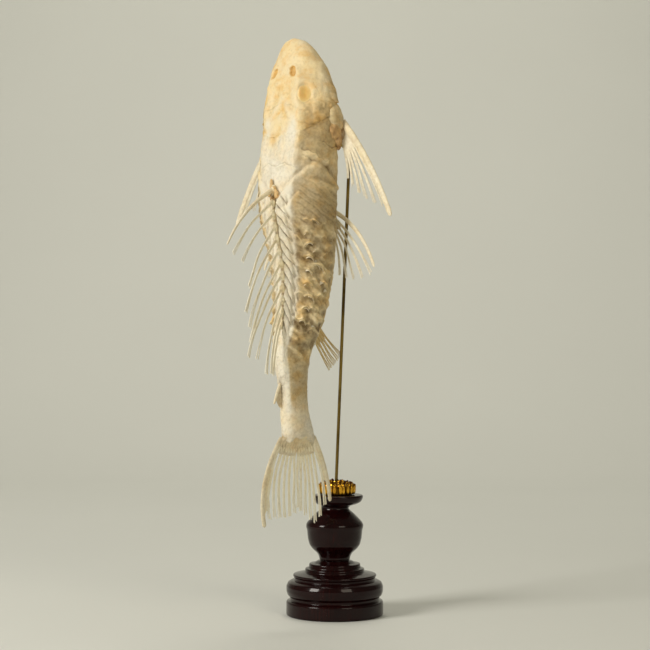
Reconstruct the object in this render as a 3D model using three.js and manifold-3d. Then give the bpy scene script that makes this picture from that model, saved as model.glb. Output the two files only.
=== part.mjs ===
// A mounted armoured catfish skeleton: the bleached bony armour of a sailfin suckermouth catfish,
// head up and tail down, carried on a bent brass rod that stands in a gilt rosette on a turned
// hardwood base. Millimetres, +Z up, origin at the centre of the base's underside. The fish shows
// its back to -X and -Y, and its right flank to +X and -Y.

import * as THREE from "three";
import { mergeVertices } from "three/addons/utils/BufferGeometryUtils.js";
import Module from "manifold-3d";

const wasm = await Module();
wasm.setup();

// ---------------------------------------------------------------- driving sizes

const SNOUT_Z = 470; // height of the snout's tip above the table
const GAP = 0.3; // clear space between two pieces that meet

// Distances along the fish, from the snout's tip towards the tail.
const NOSTRIL_AT = 28;
const EYE_AT = 49;
const CHEEK_END_AT = 55;
const HEAD_CUT_AT = 62; // where the head's rear edge crosses the body's axis
const HEAD_CUT_SLOPE = 0.8; // the skull reaches further back along the nape than under the throat
const SHOULDER_END_AT = 121;
const DORSAL_FIN_AT = 124;
const PELVIC_FIN_AT = 137;
const ANAL_FIN_AT = 231;
const STALK_AT = 247;
const ADIPOSE_FIN_AT = 278;
const TAIL_FIN_AT = 320;
const TAIL_PLATE_END_AT = 337;

// Cross-sections of the armour, from snout to tail: half width, height of the back and depth of
// the belly from the axis, the axis's place over the table, and how far the back is turned from
// -Y towards -X, in degrees.
const SECTIONS = [
  { at: 0, width: 4.3, back: 2.8, belly: 2, x: -33, y: -33, turn: 46 },
  { at: 4, width: 11.4, back: 7, belly: 4.5, x: -31.6, y: -33, turn: 46 },
  { at: 12, width: 19.1, back: 11.6, belly: 6.5, x: -29.9, y: -33, turn: 46 },
  { at: 28, width: 27.8, back: 18, belly: 10, x: -27.9, y: -33, turn: 46 },
  { at: 46, width: 34.6, back: 22.3, belly: 13.5, x: -27, y: -33, turn: 46 },
  { at: 70, width: 37.2, back: 24.8, belly: 16.5, x: -27, y: -33, turn: 46 },
  { at: 98, width: 35.7, back: 26, belly: 19, x: -29, y: -34, turn: 46 },
  { at: 135, width: 34.4, back: 26.5, belly: 21, x: -29.6, y: -35, turn: 45.5 },
  { at: 187, width: 26.6, back: 22.2, belly: 18.5, x: -26.5, y: -37, turn: 43 },
  { at: 227, width: 20.8, back: 18.3, belly: 16, x: -29.6, y: -39, turn: 41 },
  { at: 259, width: 13, back: 14.5, belly: 13, x: -34.8, y: -41, turn: 46 },
  { at: 291, width: 9.3, back: 12, belly: 11.3, x: -33.8, y: -43, turn: 51 },
  { at: 322, width: 8, back: 15, belly: 14.5, x: -29.5, y: -45, turn: 54 },
];
const BACK_ROUNDNESS = 1.95; // exponent of the back's curve: 2 is an ellipse
const BELLY_ROUNDNESS = 2.8; // a flatter underside with full corners
const BODY_SIDES = 16;
const HEAD_SIDES = 26;
const HEAD_RINGS = 11;
const SHOULDER_RINGS = 9;

// The head's forms, each by its place and its half sizes along, across and deep into the bone.
const BROW = { at: 46, along: 13, angle: 0.52, across: 0.15, lift: 1.3 };
const EYE = { angle: 0.69, sunk: 2.3, along: 7.6, across: 6.4, deep: 1.8 };
const ORBIT = { lift: 0.9, along: 8.4, across: 7.2, deep: 3 };
const NOSTRIL = { angle: 0.32, along: 3.6, across: 2.6, deep: 3 };
const MOUTH = { at: 25, pitch: 0.26, along: 10.6, across: 11.8, deep: 5, lift: 1.2 };
const LIP = { radius: 8.2, thick: 1.9, oval: 0.86 };
const CHEEK = { at: 26, angle: 1.62, half: 0.3, front: 0.4, rear: 2.8 };
const GIRDLE = { at: 57.5, end: 68.4, angle: 1.66, half: 0.42, front: 0.4, swell: 4.4 };

// The plates of the trunk and the tail lie in rings, each ring's rear edge over the next one's
// front edge, and the rings slant tailwards from the back down to the flank.
const PLATE_PITCH = 10.5;
const PLATE_STEP = 1.1;
const PLATE_LIP = 0.4; // half the length over which one plate steps down to the next
const PLATE_SLANT = 7;
const SLANT_FROM_AT = 70;
const SLANT_FULL_AT = 150;
const SLANT_END_AT = 275;

// The fins, by each ray's length and its rise from the body's line in degrees, front to back.
const DORSAL_RAY_PITCH = 9.7;
const DORSAL_RAY_LENGTHS = [66, 60, 51, 57, 68, 70, 73, 75, 64, 62, 51, 42];
const DORSAL_RAY_RISES = [47, 45, 41, 30, 30, 28, 28, 30, 27, 17, 14, 12];
const TAIL_RAY_REACHES = [71, 66, 65, 65, 65, 65, 63, 0, 60, 64, 68, 71, 66, 57, 54];
const TAIL_ROOT_SPREAD = 14.5;
const TAIL_TIP_SPREAD = 32;
const TAIL_UPPER_BOW = 8;
const TAIL_LOWER_BOW = 3;
const TAIL_PLATE_UP = 23; // half heights of the tail's end plate at its rear edge
const TAIL_PLATE_DOWN = 19.5;
const DORSAL_RIDGE = { front: 4, half: 1.9, beat: 0.5 };
const DORSAL_SPINE_BOW = 11;
const ADIPOSE = { spine: 16, bend: 6, bendUp: 4, tipUp: 6.8, web: 17, webUp: 4.6 };
const PECTORAL = {
  at: 70, side: 37.4, up: -10, spine: 93, spineRise: 34.6, wide: 3.4, bow: 8,
  rays: 6, first: 80, shorter: 9, firstRise: 34.5, closer: 5.4,
};
const PELVIC = {
  at: PELVIC_FIN_AT, side: 12, up: -21.8, spine: 71, spineRise: 47, wide: 2.1, bow: 16,
  rays: 5, first: 71, shorter: 6, firstRise: 43, closer: 7.5,
};
const ANAL = { rays: 5, pitch: 2.2, first: 46, shorter: 1.8, firstRise: 56, closer: 2.5, lean: -0.03 };
const RAY_HALF_WIDTH = 0.95;
const RAY_HALF_THICKNESS = 0.6;

// The stand.
const ROD_DIAMETER = 2.6;
const ROD_FOOT_X = 1;
const ROD_TOP = new THREE.Vector3(11.8, -3, 372); // where the straight part ends
const ROD_ENTRY_AT = 78; // where the rod goes into the breast, from the snout's tip
const ROD_BITE = 7; // how far the rod's end reaches into the breast
const ROSETTE_Z = 99.3;
const PETALS = 18;
const TURNED_SIDES = 22;

// ---------------------------------------------------------------- shape helpers

// A closed solid from a three.js geometry, facing outwards.
function solid(geometry) {
  const bare = geometry.index ? geometry.toNonIndexed() : geometry.clone();
  bare.deleteAttribute("normal");
  bare.deleteAttribute("uv");
  const merged = mergeVertices(bare, 1e-4);
  const vertProperties = merged.attributes.position.array;
  const triVerts = new Uint32Array(merged.index.array);
  let made = new wasm.Manifold(new wasm.Mesh({ numProp: 3, vertProperties, triVerts }));
  if (made.volume() < 0) {
    const turned = triVerts.slice();
    for (let i = 0; i < turned.length; i += 3) {
      turned[i] = triVerts[i + 1];
      turned[i + 1] = triVerts[i];
    }
    made = new wasm.Manifold(new wasm.Mesh({ numProp: 3, vertProperties, triVerts: turned }));
  }
  return made;
}

function joined(solids) {
  return solids.reduce((all, one) => all.add(one));
}

// A cylinder whose wall is moved to pointAt(share along, angle, share out from the middle).
function swept(around, along, pointAt) {
  const geometry = new THREE.CylinderGeometry(1, 1, 1, around, along);
  const position = geometry.attributes.position;
  for (let i = 0; i < position.count; i++) {
    const share = 0.5 - position.getY(i);
    const out = Math.hypot(position.getX(i), position.getZ(i));
    const angle = Math.atan2(position.getX(i), position.getZ(i));
    const p = pointAt(share, angle, out);
    position.setXYZ(i, p.x, p.y, p.z);
  }
  return solid(geometry);
}

// Monotone cubic through the named sections, so that no bulge appears between two of them.
function between(rows, key, at) {
  const last = rows.length - 2;
  const slope = (i) => (rows[i + 1][key] - rows[i][key]) / (rows[i + 1].at - rows[i].at);
  const bend = (i) => {
    if (i === 0) return slope(0);
    if (i > last) return slope(last);
    const before = slope(i - 1);
    const after = slope(i);
    return before * after > 0 ? (2 * before * after) / (before + after) : 0;
  };
  let i = 0;
  while (i < last && at > rows[i + 1].at) i++;
  const span = rows[i + 1].at - rows[i].at;
  const s = (at - rows[i].at) / span;
  const rise = rows[i + 1][key] * s * s * (3 - 2 * s) + rows[i][key] * (1 - s) ** 2 * (1 + 2 * s);
  return rise + span * (bend(i) * s * (1 - s) ** 2 - bend(i + 1) * s * s * (1 - s));
}

// The section at a distance from the snout, with the directions of the back and the right side.
function section(at) {
  const turn = THREE.MathUtils.degToRad(between(SECTIONS, "turn", at));
  return {
    width: between(SECTIONS, "width", at),
    back: between(SECTIONS, "back", at),
    belly: between(SECTIONS, "belly", at),
    axis: new THREE.Vector3(between(SECTIONS, "x", at), between(SECTIONS, "y", at), SNOUT_Z - at),
    up: new THREE.Vector3(-Math.sin(turn), -Math.cos(turn), 0),
    right: new THREE.Vector3(Math.cos(turn), -Math.sin(turn), 0),
  };
}

// A point beside and above the fish's axis.
function place(at, side, up) {
  const s = section(at);
  return s.axis.clone().addScaledVector(s.right, side).addScaledVector(s.up, up);
}

// A direction in the fish's own terms: sideways, towards the back, and towards the tail.
function direction(at, side, up, tailward) {
  const s = section(at);
  const d = new THREE.Vector3(0, 0, -tailward).addScaledVector(s.right, side);
  return d.addScaledVector(s.up, up).normalize();
}

// The armour's surface: angle 0 is the middle of the back, and positive turns to the right side.
function armourPoint(at, angle, out, grow) {
  const s = section(at);
  const c = Math.cos(angle);
  const n = Math.sin(angle);
  const power = 2 / (c >= 0 ? BACK_ROUNDNESS : BELLY_ROUNDNESS);
  const side = (s.width + grow) * Math.sign(n) * Math.abs(n) ** power;
  const up = ((c >= 0 ? s.back : s.belly) + grow) * Math.sign(c) * Math.abs(c) ** power;
  return s.axis.addScaledVector(s.right, side * out).addScaledVector(s.up, up * out);
}

// The skull's surface back to the nape, closed at both ends.
function skullSurface() {
  const end = HEAD_CUT_AT + 40; // clear of the slanting cut behind the skull
  return swept(HEAD_SIDES, HEAD_RINGS, (share, angle, out) => {
    const at = end * (0.55 * share ** 2 + 0.45 * share);
    return armourPoint(at, angle, out, browLift(at, angle));
  });
}

// The bony brows that stand up along the inner side of the eyes.
function browLift(at, angle) {
  const along = Math.exp(-(((at - BROW.at) / BROW.along) ** 2));
  const across = Math.exp(-(((Math.abs(angle) - BROW.angle) / BROW.across) ** 2));
  return BROW.lift * along * across;
}

// The armour behind the skull: smooth over the shoulder, then ring after ring of plates.
function bodySurface() {
  const rings = [];
  for (let i = 0; i < SHOULDER_RINGS; i++) {
    rings.push({ at: 1 + (SHOULDER_END_AT * i) / SHOULDER_RINGS, inset: 0 });
  }
  const plates = Math.round((TAIL_FIN_AT - SHOULDER_END_AT) / PLATE_PITCH);
  const pitch = (TAIL_FIN_AT - SHOULDER_END_AT) / plates;
  for (let k = 0; k < plates; k++) {
    const at = SHOULDER_END_AT + k * pitch;
    rings.push({ at: at - PLATE_LIP, inset: 0 }, { at: at + PLATE_LIP, inset: PLATE_STEP });
  }
  rings.push({ at: TAIL_FIN_AT, inset: 0 });
  return swept(BODY_SIDES, rings.length - 1, (share, angle, out) => {
    const ring = rings[Math.round(share * (rings.length - 1))];
    const fade = THREE.MathUtils.smoothstep(ring.at, SLANT_FROM_AT, SLANT_FULL_AT);
    const end = 1 - THREE.MathUtils.smoothstep(ring.at, SLANT_END_AT, TAIL_FIN_AT);
    const slant = PLATE_SLANT * (0.5 - 0.5 * Math.cos(2 * angle)) * fade * end;
    return armourPoint(ring.at + slant * out, angle, out, -ring.inset);
  });
}

// An ellipsoid about a point, with its three half axes along given directions.
function ellipsoid(centre, axes, around = 10, along = 5) {
  const geometry = new THREE.SphereGeometry(1, around, along);
  const [a, b, c] = axes;
  const basis = new THREE.Matrix4().makeBasis(a, b, c).setPosition(centre);
  return solid(geometry.applyMatrix4(basis));
}

// A tapered rod of elliptical section along a curve; flat is the direction it is thin in.
function tapered(curve, { sides = 4, steps = 3, from, to, thin = 0.65, flat }) {
  return swept(sides, steps, (share, angle, out) => {
    const tangent = curve.getTangent(share);
    const wide = new THREE.Vector3().crossVectors(flat, tangent).normalize();
    const deep = new THREE.Vector3().crossVectors(tangent, wide);
    const r = THREE.MathUtils.lerp(from, to, share) * out;
    return curve
      .getPoint(share)
      .addScaledVector(wide, r * Math.sin(angle))
      .addScaledVector(deep, r * thin * Math.cos(angle));
  });
}

// A fin ray, sawn flat from one outline: a stem that forks at FORK_AT into two pointed branches.
// The bow is how far the middle of the ray stands off the line from root to tip.
const FORK_AT = 0.55;
const FORK_SPREAD = 0.026; // half the gap of the tips, as a share of the ray's length
function finRay(root, way, length, bow, flat, halfWidth = RAY_HALF_WIDTH) {
  const across = new THREE.Vector3().crossVectors(flat, way).normalize();
  const normal = new THREE.Vector3().crossVectors(way, across);
  const arc = (share) => bow * 4 * share * (1 - share);
  const point = (share, off) => new THREE.Vector2(share * length, arc(share) + off);
  const spread = length * FORK_SPREAD;
  const tip = 0.45;
  const outline = new THREE.Shape([
    point(0, -halfWidth),
    point(FORK_AT, -halfWidth),
    point(1, -spread - tip),
    point(1, -spread + tip),
    point(FORK_AT + 0.04, 0),
    point(1, spread - tip),
    point(1, spread + tip),
    point(FORK_AT, halfWidth),
    point(0, halfWidth),
  ]);
  const depth = 2 * RAY_HALF_THICKNESS;
  const blank = new THREE.ExtrudeGeometry(outline, { depth, bevelEnabled: false });
  blank.translate(0, 0, -depth / 2);
  return solid(blank.applyMatrix4(new THREE.Matrix4().makeBasis(way, across, normal).setPosition(root)));
}

// ---------------------------------------------------------------- head

const skin = bodySurface();
const clearance = swept(BODY_SIDES, 16, (share, angle, out) => {
  return armourPoint(TAIL_FIN_AT * share, angle, out, GAP);
});

// The slanting cut behind the skull, as the plane normal . p = offset.
const headCut = (() => {
  const s = section(HEAD_CUT_AT);
  const normal = s.up.clone().multiplyScalar(HEAD_CUT_SLOPE).add(new THREE.Vector3(0, 0, 1));
  const length = normal.length();
  return { normal: normal.divideScalar(length), offset: normal.dot(s.axis) };
})();

// Where the armour meets a place on its own surface, and the way it faces there.
function surfaceFrame(at, angle) {
  const point = armourPoint(at, angle, 1, 0);
  const along = armourPoint(at + 0.5, angle, 1, 0).sub(armourPoint(at - 0.5, angle, 1, 0));
  const round = armourPoint(at, angle + 0.01, 1, 0).sub(armourPoint(at, angle - 0.01, 1, 0));
  along.normalize();
  const out = new THREE.Vector3().crossVectors(round, along).normalize();
  const s = section(at);
  if (out.dot(point.clone().sub(s.axis)) < 0) out.negate();
  return { point, along, out, across: new THREE.Vector3().crossVectors(out, along) };
}

// A pad or pit that lies on the armour: an ellipsoid with its short axis along the surface's out.
function surfacePad(at, angle, lift, halfAlong, halfAcross, halfDeep, around = 10, along = 5) {
  const f = surfaceFrame(at, angle);
  const centre = f.point.clone().addScaledVector(f.out, lift);
  const axes = [
    f.along.multiplyScalar(halfAlong),
    f.out.multiplyScalar(halfDeep),
    f.across.multiplyScalar(halfAcross),
  ];
  return ellipsoid(centre, axes, around, along);
}

function eye(side, grow = 0) {
  const { angle, sunk, along, across, deep } = EYE;
  return surfacePad(EYE_AT, side * angle, -sunk, along + grow, across + grow, deep + grow);
}

// The sucker mouth on the underside: a shallow oval pit with a thick lip ring.
function mouthFrame() {
  const s = section(MOUTH.at);
  const centre = place(MOUTH.at, 0, -s.belly);
  const front = direction(MOUTH.at, 0, MOUTH.pitch, 1);
  const out = direction(MOUTH.at, 0, -1, MOUTH.pitch);
  return { centre, front, out, side: s.right.clone() };
}

function lips() {
  const { centre, front, out, side } = mouthFrame();
  const ring = new THREE.TorusGeometry(LIP.radius, LIP.thick, 5, 14).scale(1, LIP.oval, 1);
  const basis = new THREE.Matrix4().makeBasis(side, front, out).setPosition(centre);
  return solid(ring.applyMatrix4(basis));
}

function head() {
  const { centre, front, out, side } = mouthFrame();
  const pitAxes = [
    side.clone().multiplyScalar(MOUTH.across),
    out.clone().multiplyScalar(MOUTH.deep),
    front.clone().multiplyScalar(MOUTH.along),
  ];
  const pit = ellipsoid(centre.clone().addScaledVector(out, MOUTH.lift), pitAxes, 14, 6);
  const { normal, offset } = headCut;
  let skull = skullSurface().trimByPlane([normal.x, normal.y, normal.z], offset + GAP / 2);
  const { along, across, deep } = NOSTRIL;
  for (const s of [-1, 1]) {
    const orbit = [ORBIT.lift, ORBIT.along, ORBIT.across, ORBIT.deep];
    skull = skull.subtract(surfacePad(EYE_AT, s * EYE.angle, ...orbit));
    skull = skull.subtract(eye(s, GAP));
    skull = skull.subtract(surfacePad(NOSTRIL_AT, s * NOSTRIL.angle, 0, along, across, deep, 8, 4));
  }
  return skull.subtract(pit);
}

// A plate that lies on the armour, between two distances and about an angle; its lift above the
// armour follows liftAt(share along).
function overlay(side, from, to, middle, half, liftAt, steps = 4) {
  return swept(8, steps, (share, turn, out) => {
    const at = THREE.MathUtils.lerp(from, to, share);
    const angle = middle + half * Math.cos(turn) * out;
    const lift = GAP + 0.15 + Math.max(0, Math.sin(turn)) * out * liftAt(share);
    return armourPoint(at, side * angle, 1, lift);
  });
}

// The cheek plate: it thickens backwards and ends sharply over the gill opening.
function cheek(side) {
  const { at, angle, half, front, rear } = CHEEK;
  const liftAt = (share) => THREE.MathUtils.lerp(front, rear, share ** 1.5);
  return overlay(side, at, CHEEK_END_AT, angle, half, liftAt);
}

// ---------------------------------------------------------------- trunk

// The shoulder girdle's outer plate: a smooth crescent swelling behind the gill opening.
function girdle(side) {
  const { at, end, angle, half, front, swell } = GIRDLE;
  const liftAt = (share) => front + swell * Math.sin(Math.PI * (0.1 + 0.62 * share)) ** 1.2;
  return overlay(side, at, end, angle, half, liftAt, 5);
}

// The brass rod: straight up from the rosette, then bent over into the breast.
function rod(radius = ROD_DIAMETER / 2) {
  const belly = section(ROD_ENTRY_AT).belly;
  const foot = new THREE.Vector3(ROD_FOOT_X, 0, ROSETTE_Z + 4);
  const up = ROD_TOP.clone().sub(foot).normalize();
  const start = ROD_TOP.clone().addScaledVector(up, -1);
  const knee = ROD_TOP.clone().addScaledVector(up, 18);
  const approach = place(ROD_ENTRY_AT, 0, -belly - 12);
  const end = place(ROD_ENTRY_AT, 0, -belly + ROD_BITE);
  const outline = new THREE.Shape().absarc(0, 0, radius, 0, 2 * Math.PI);
  const along = (extrudePath, steps) =>
    solid(new THREE.ExtrudeGeometry(outline, { extrudePath, steps, curveSegments: 4 }));
  const straight = along(new THREE.LineCurve3(foot, ROD_TOP), 1);
  return straight.add(along(new THREE.CubicBezierCurve3(start, knee, approach, end), 8));
}

const DOWN = [0, 0, -1];
const UP = [0, 0, 1];
const levelOf = (at) => SNOUT_Z - at;

function shoulder() {
  const { normal, offset } = headCut;
  return skin
    .trimByPlane([-normal.x, -normal.y, -normal.z], -(offset - GAP / 2))
    .trimByPlane(UP, levelOf(SHOULDER_END_AT))
    .subtract(rod(ROD_DIAMETER / 2 + GAP));
}

function trunk() {
  return skin
    .trimByPlane(DOWN, -levelOf(SHOULDER_END_AT + GAP))
    .trimByPlane(UP, levelOf(STALK_AT));
}

function tailStalk() {
  return skin.trimByPlane(DOWN, -levelOf(STALK_AT + GAP));
}

// ---------------------------------------------------------------- fins

// The dorsal fin stands on a beaded ridge of ray bases along the middle of the back.
function dorsalFin() {
  const count = DORSAL_RAY_LENGTHS.length;
  const start = DORSAL_FIN_AT - DORSAL_RIDGE.front;
  const end = DORSAL_FIN_AT + DORSAL_RAY_PITCH * (count - 0.6);
  const ridge = swept(6, 2 * count, (share, angle, out) => {
    const at = THREE.MathUtils.lerp(start, end, share);
    const beat = Math.cos((2 * Math.PI * (at - DORSAL_FIN_AT)) / DORSAL_RAY_PITCH);
    const half = (DORSAL_RIDGE.half + DORSAL_RIDGE.beat * beat) * out;
    const up = section(at).back + GAP + Math.max(0, half * Math.cos(angle) + 0.2);
    return place(at, half * Math.sin(angle), up);
  });
  const pieces = [ridge];
  DORSAL_RAY_LENGTHS.forEach((length, k) => {
    const at = DORSAL_FIN_AT + k * DORSAL_RAY_PITCH;
    const rise = THREE.MathUtils.degToRad(DORSAL_RAY_RISES[k]);
    const way = direction(at, 0, Math.sin(rise), Math.cos(rise));
    const flat = section(at).right;
    const root = place(at, 0, section(at).back + 1.4);
    const bow = direction(at, 0, Math.cos(rise), -Math.sin(rise));
    if (k === 0) {
      const tip = root.clone().addScaledVector(way, length);
      const middle = root.clone().addScaledVector(way, length * 0.4);
      middle.addScaledVector(bow, DORSAL_SPINE_BOW);
      const curve = new THREE.QuadraticBezierCurve3(root, middle, tip);
      pieces.push(tapered(curve, { sides: 5, steps: 4, from: 2, to: 0.8, thin: 0.8, flat }));
    } else {
      pieces.push(finRay(root, way, length, length * 0.06, flat));
    }
  });
  return joined(pieces);
}

// A paired fin: a stout bowed spine in front and a fan of soft rays behind it.
function pairedFin(side, fin) {
  const at = fin.at;
  const flat = section(at).up;
  const root = place(at, side * fin.side, fin.up);
  const spineRise = THREE.MathUtils.degToRad(fin.spineRise);
  const way = direction(at, side * Math.sin(spineRise), 0, Math.cos(spineRise));
  const outward = direction(at, side * Math.cos(spineRise), 0, -Math.sin(spineRise));
  const tip = root.clone().addScaledVector(way, fin.spine);
  const middle = root.clone().addScaledVector(way, fin.spine * 0.45);
  middle.addScaledVector(outward, fin.bow);
  const curve = new THREE.QuadraticBezierCurve3(root, middle, tip);
  const spine = { sides: 6, steps: 5, from: fin.wide, to: fin.wide * 0.5, thin: 0.55, flat };
  const pieces = [tapered(curve, spine)];
  for (let k = 0; k < fin.rays; k++) {
    const rise = THREE.MathUtils.degToRad(fin.firstRise - fin.closer * k);
    const rayWay = direction(at, side * Math.sin(rise), -0.02 * k, Math.cos(rise));
    const rayRoot = place(at + 2.4 + 1.6 * k, side * (fin.side - 0.4 * k), fin.up - 0.5);
    const length = fin.first - fin.shorter * k;
    pieces.push(finRay(rayRoot, rayWay, length, -side * fin.bow * 0.25, flat));
  }
  const hubAxes = [
    direction(at, 0, 0, 1).multiplyScalar(3.6 + 0.9 * fin.rays),
    section(at).right.clone().multiplyScalar(3.4),
    section(at).up.clone().multiplyScalar(2.6),
  ];
  pieces.push(ellipsoid(place(at + 1.3 * fin.rays, side * fin.side, fin.up - 0.4), hubAxes, 8, 4));
  return joined(pieces).subtract(clearance);
}

function analFin() {
  const pieces = [];
  const flat = section(ANAL_FIN_AT).right;
  for (let k = 0; k < ANAL.rays; k++) {
    const at = ANAL_FIN_AT + ANAL.pitch * k;
    const rise = THREE.MathUtils.degToRad(ANAL.firstRise - ANAL.closer * k);
    const way = direction(at, ANAL.lean, -Math.sin(rise), Math.cos(rise));
    const root = place(at, 0, -section(at).belly - 0.4);
    pieces.push(finRay(root, way, ANAL.first - ANAL.shorter * k, -2, flat));
  }
  const middle = ANAL_FIN_AT + (ANAL.pitch * (ANAL.rays - 1)) / 2;
  const hub = [
    direction(middle, 0, 0, 1).multiplyScalar(8),
    section(middle).right.clone().multiplyScalar(2.2),
    section(middle).up.clone().multiplyScalar(2),
  ];
  pieces.push(ellipsoid(place(middle, 0, -section(middle).belly - 0.6), hub, 8, 4));
  return joined(pieces).subtract(clearance);
}

// The adipose fin: a short spine with a low web of skin behind it.
function adiposeFin() {
  const at = ADIPOSE_FIN_AT;
  const s = section(at);
  const root = place(at, 0, s.back - 0.5);
  const tipAt = at + ADIPOSE.spine;
  const tip = place(tipAt, 0, section(tipAt).back + ADIPOSE.tipUp);
  const bend = place(at + ADIPOSE.bend, 0, s.back + ADIPOSE.bendUp);
  const curve = new THREE.QuadraticBezierCurve3(root, bend, tip);
  const spine = tapered(curve, { sides: 6, steps: 4, from: 1.7, to: 0.9, thin: 0.8, flat: s.right });
  const web = swept(4, 4, (share, angle, out) => {
    const along = at + 2 + ADIPOSE.web * share;
    const arch = Math.sin(Math.PI * Math.min(1, share * 0.9));
    const top = section(along).back + 0.4 + ADIPOSE.webUp * arch;
    const low = section(along).back - 1;
    const middle = (top + low) / 2;
    const tall = ((top - low) / 2) * out;
    return place(along, 0.6 * out * Math.sin(angle), middle + tall * Math.cos(angle));
  });
  return joined([spine, web]).subtract(clearance);
}

// The tail fin: the tail's flat end plate with its rays, long in both lobes.
function tailFin() {
  const plate = swept(12, 3, (share, angle, out) => {
    const at = THREE.MathUtils.lerp(TAIL_FIN_AT + GAP, TAIL_PLATE_END_AT, share);
    const s = section(TAIL_FIN_AT);
    const thick = THREE.MathUtils.lerp(s.width, 1.1, Math.sqrt(share)) * out;
    const tall = THREE.MathUtils.lerp(s.back, TAIL_PLATE_UP, share) * out;
    const low = THREE.MathUtils.lerp(s.belly, TAIL_PLATE_DOWN, share) * out;
    const up = Math.cos(angle) >= 0 ? tall : low;
    const p = place(TAIL_FIN_AT, thick * Math.sin(angle), up * Math.cos(angle));
    p.z = levelOf(at);
    return p;
  });
  const pieces = [plate];
  const flat = section(TAIL_FIN_AT).right;
  const last = TAIL_RAY_REACHES.length - 1;
  TAIL_RAY_REACHES.forEach((reach, k) => {
    if (!reach) return;
    const q = 1 - (2 * k) / last;
    const root = place(TAIL_FIN_AT, 0, q * TAIL_ROOT_SPREAD * 1.08);
    root.z = levelOf(TAIL_FIN_AT + 9 - 6 * q * q);
    const tip = place(TAIL_FIN_AT, 0, q * TAIL_TIP_SPREAD);
    tip.z = levelOf(TAIL_FIN_AT + reach);
    const way = tip.clone().sub(root);
    const length = way.length();
    way.divideScalar(length);
    const bow = q > 0 ? TAIL_UPPER_BOW * q : TAIL_LOWER_BOW * q;
    const edge = k === 0 || k === last;
    const half = edge ? 1.9 : 1.05;
    if (edge) {
      const middle = root.clone().addScaledVector(way, length / 2);
      middle.addScaledVector(section(TAIL_FIN_AT).up, 2 * bow);
      const curve = new THREE.QuadraticBezierCurve3(root, middle, tip);
      const outer = { sides: 4, steps: 4, from: half, to: half * 0.9, thin: 0.45, flat };
      pieces.push(tapered(curve, outer));
    } else {
      pieces.push(finRay(root, way, length, bow, flat, half));
    }
  });
  return joined(pieces);
}

// ---------------------------------------------------------------- stand

// A turned profile: radius and height pairs from the bottom up, closed on the axis.
function turned(profile, sides = TURNED_SIDES) {
  const points = profile.map(([radius, height]) => new THREE.Vector2(radius, height));
  return solid(new THREE.LatheGeometry(points, sides).rotateX(Math.PI / 2));
}

// An outward-bulging moulding between two heights, as profile points.
function bead(radius, bulge, low, high, steps = 4) {
  const points = [];
  for (let i = 0; i <= steps; i++) {
    const a = (Math.PI * i) / steps;
    points.push([radius + bulge * Math.sin(a), (low + high) / 2 - ((high - low) / 2) * Math.cos(a)]);
  }
  return points;
}

const FOOT_RADIUS = 40;
const FOOT_TOP = 45;

function baseFoot() {
  return turned([
    [0, 0],
    [FOOT_RADIUS, 0],
    [FOOT_RADIUS, 11],
    [FOOT_RADIUS - 3, 12.8],
    ...bead(FOOT_RADIUS - 5, 5, 14.6, 28.4),
    [34.6, 32.4],
    [34.2, 33.8],
    [24.4, 36],
    [24.4, 38.4],
    [21, 39.4],
    [20.6, 42.4],
    [13.4, FOOT_TOP],
    [0, FOOT_TOP],
  ]);
}

function baseVase() {
  const low = FOOT_TOP + GAP;
  return turned([
    [0, low],
    [12.6, low],
    [14.4, 51.2],
    [19, 55.4],
    [22.3, 63],
    [22.6, 71.6],
    [23.4, 73.4],
    [21.4, 77.8],
    [13, 84.4],
    [11.5, 88.4],
    [18.2, 94.4],
    [20.4, 96.8],
    [19.6, 99],
    [0, 99],
  ]);
}

// The gilt rosette: rings of upright petals about a low boss, on one fluted body.
function rosette() {
  const rings = [
    { radius: 13.6, flute: 0.6, height: 0 },
    { radius: 15.2, flute: 1, height: 1.6 },
    { radius: 15, flute: 1, height: 5.6 },
    { radius: 12.4, flute: 0.8, height: 8 },
    { radius: 8.6, flute: 0.6, height: 8.4 },
    { radius: 7.4, flute: 0.5, height: 10.2 },
    { radius: 3.4, flute: 0, height: 11.2 },
  ];
  const body = swept(2 * PETALS, rings.length - 1, (share, angle, out) => {
    const ring = rings[rings.length - 1 - Math.round(share * (rings.length - 1))];
    const radius = (ring.radius + ring.flute * Math.cos(PETALS * angle)) * out;
    return new THREE.Vector3(
      ROD_FOOT_X + radius * Math.sin(angle),
      radius * Math.cos(angle),
      ROSETTE_Z + ring.height,
    );
  });
  return body.subtract(rod(ROD_DIAMETER / 2 + GAP));
}

// ---------------------------------------------------------------- materials and assembly

const bone = (color, roughness = 0.75) =>
  new THREE.MeshStandardMaterial({ color, roughness, metalness: 0 });
const HEAD_BONE = bone(0xeedcb4);
const BODY_BONE = bone(0xe2d6c2);
const FIN_BONE = bone(0xe8dfc4);
const EYE_SKIN = bone(0xcfa558, 0.5);
const LIP_SKIN = bone(0xb99468, 0.8);
const DARK_WOOD = new THREE.MeshStandardMaterial({ color: 0x2a0c0c, roughness: 0.15, metalness: 0 });
const BRASS = new THREE.MeshStandardMaterial({ color: 0x9c7a3c, roughness: 0.3, metalness: 1 });
const GILT = new THREE.MeshStandardMaterial({ color: 0xd9a534, roughness: 0.25, metalness: 1 });

function piece(name, shape, material) {
  const mesh = shape.getMesh();
  const geometry = new THREE.BufferGeometry();
  geometry.setAttribute("position", new THREE.BufferAttribute(mesh.vertProperties, 3));
  geometry.setIndex(new THREE.BufferAttribute(mesh.triVerts, 1));
  geometry.computeVertexNormals();
  const made = new THREE.Mesh(geometry, material);
  made.name = name;
  return made;
}

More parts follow.
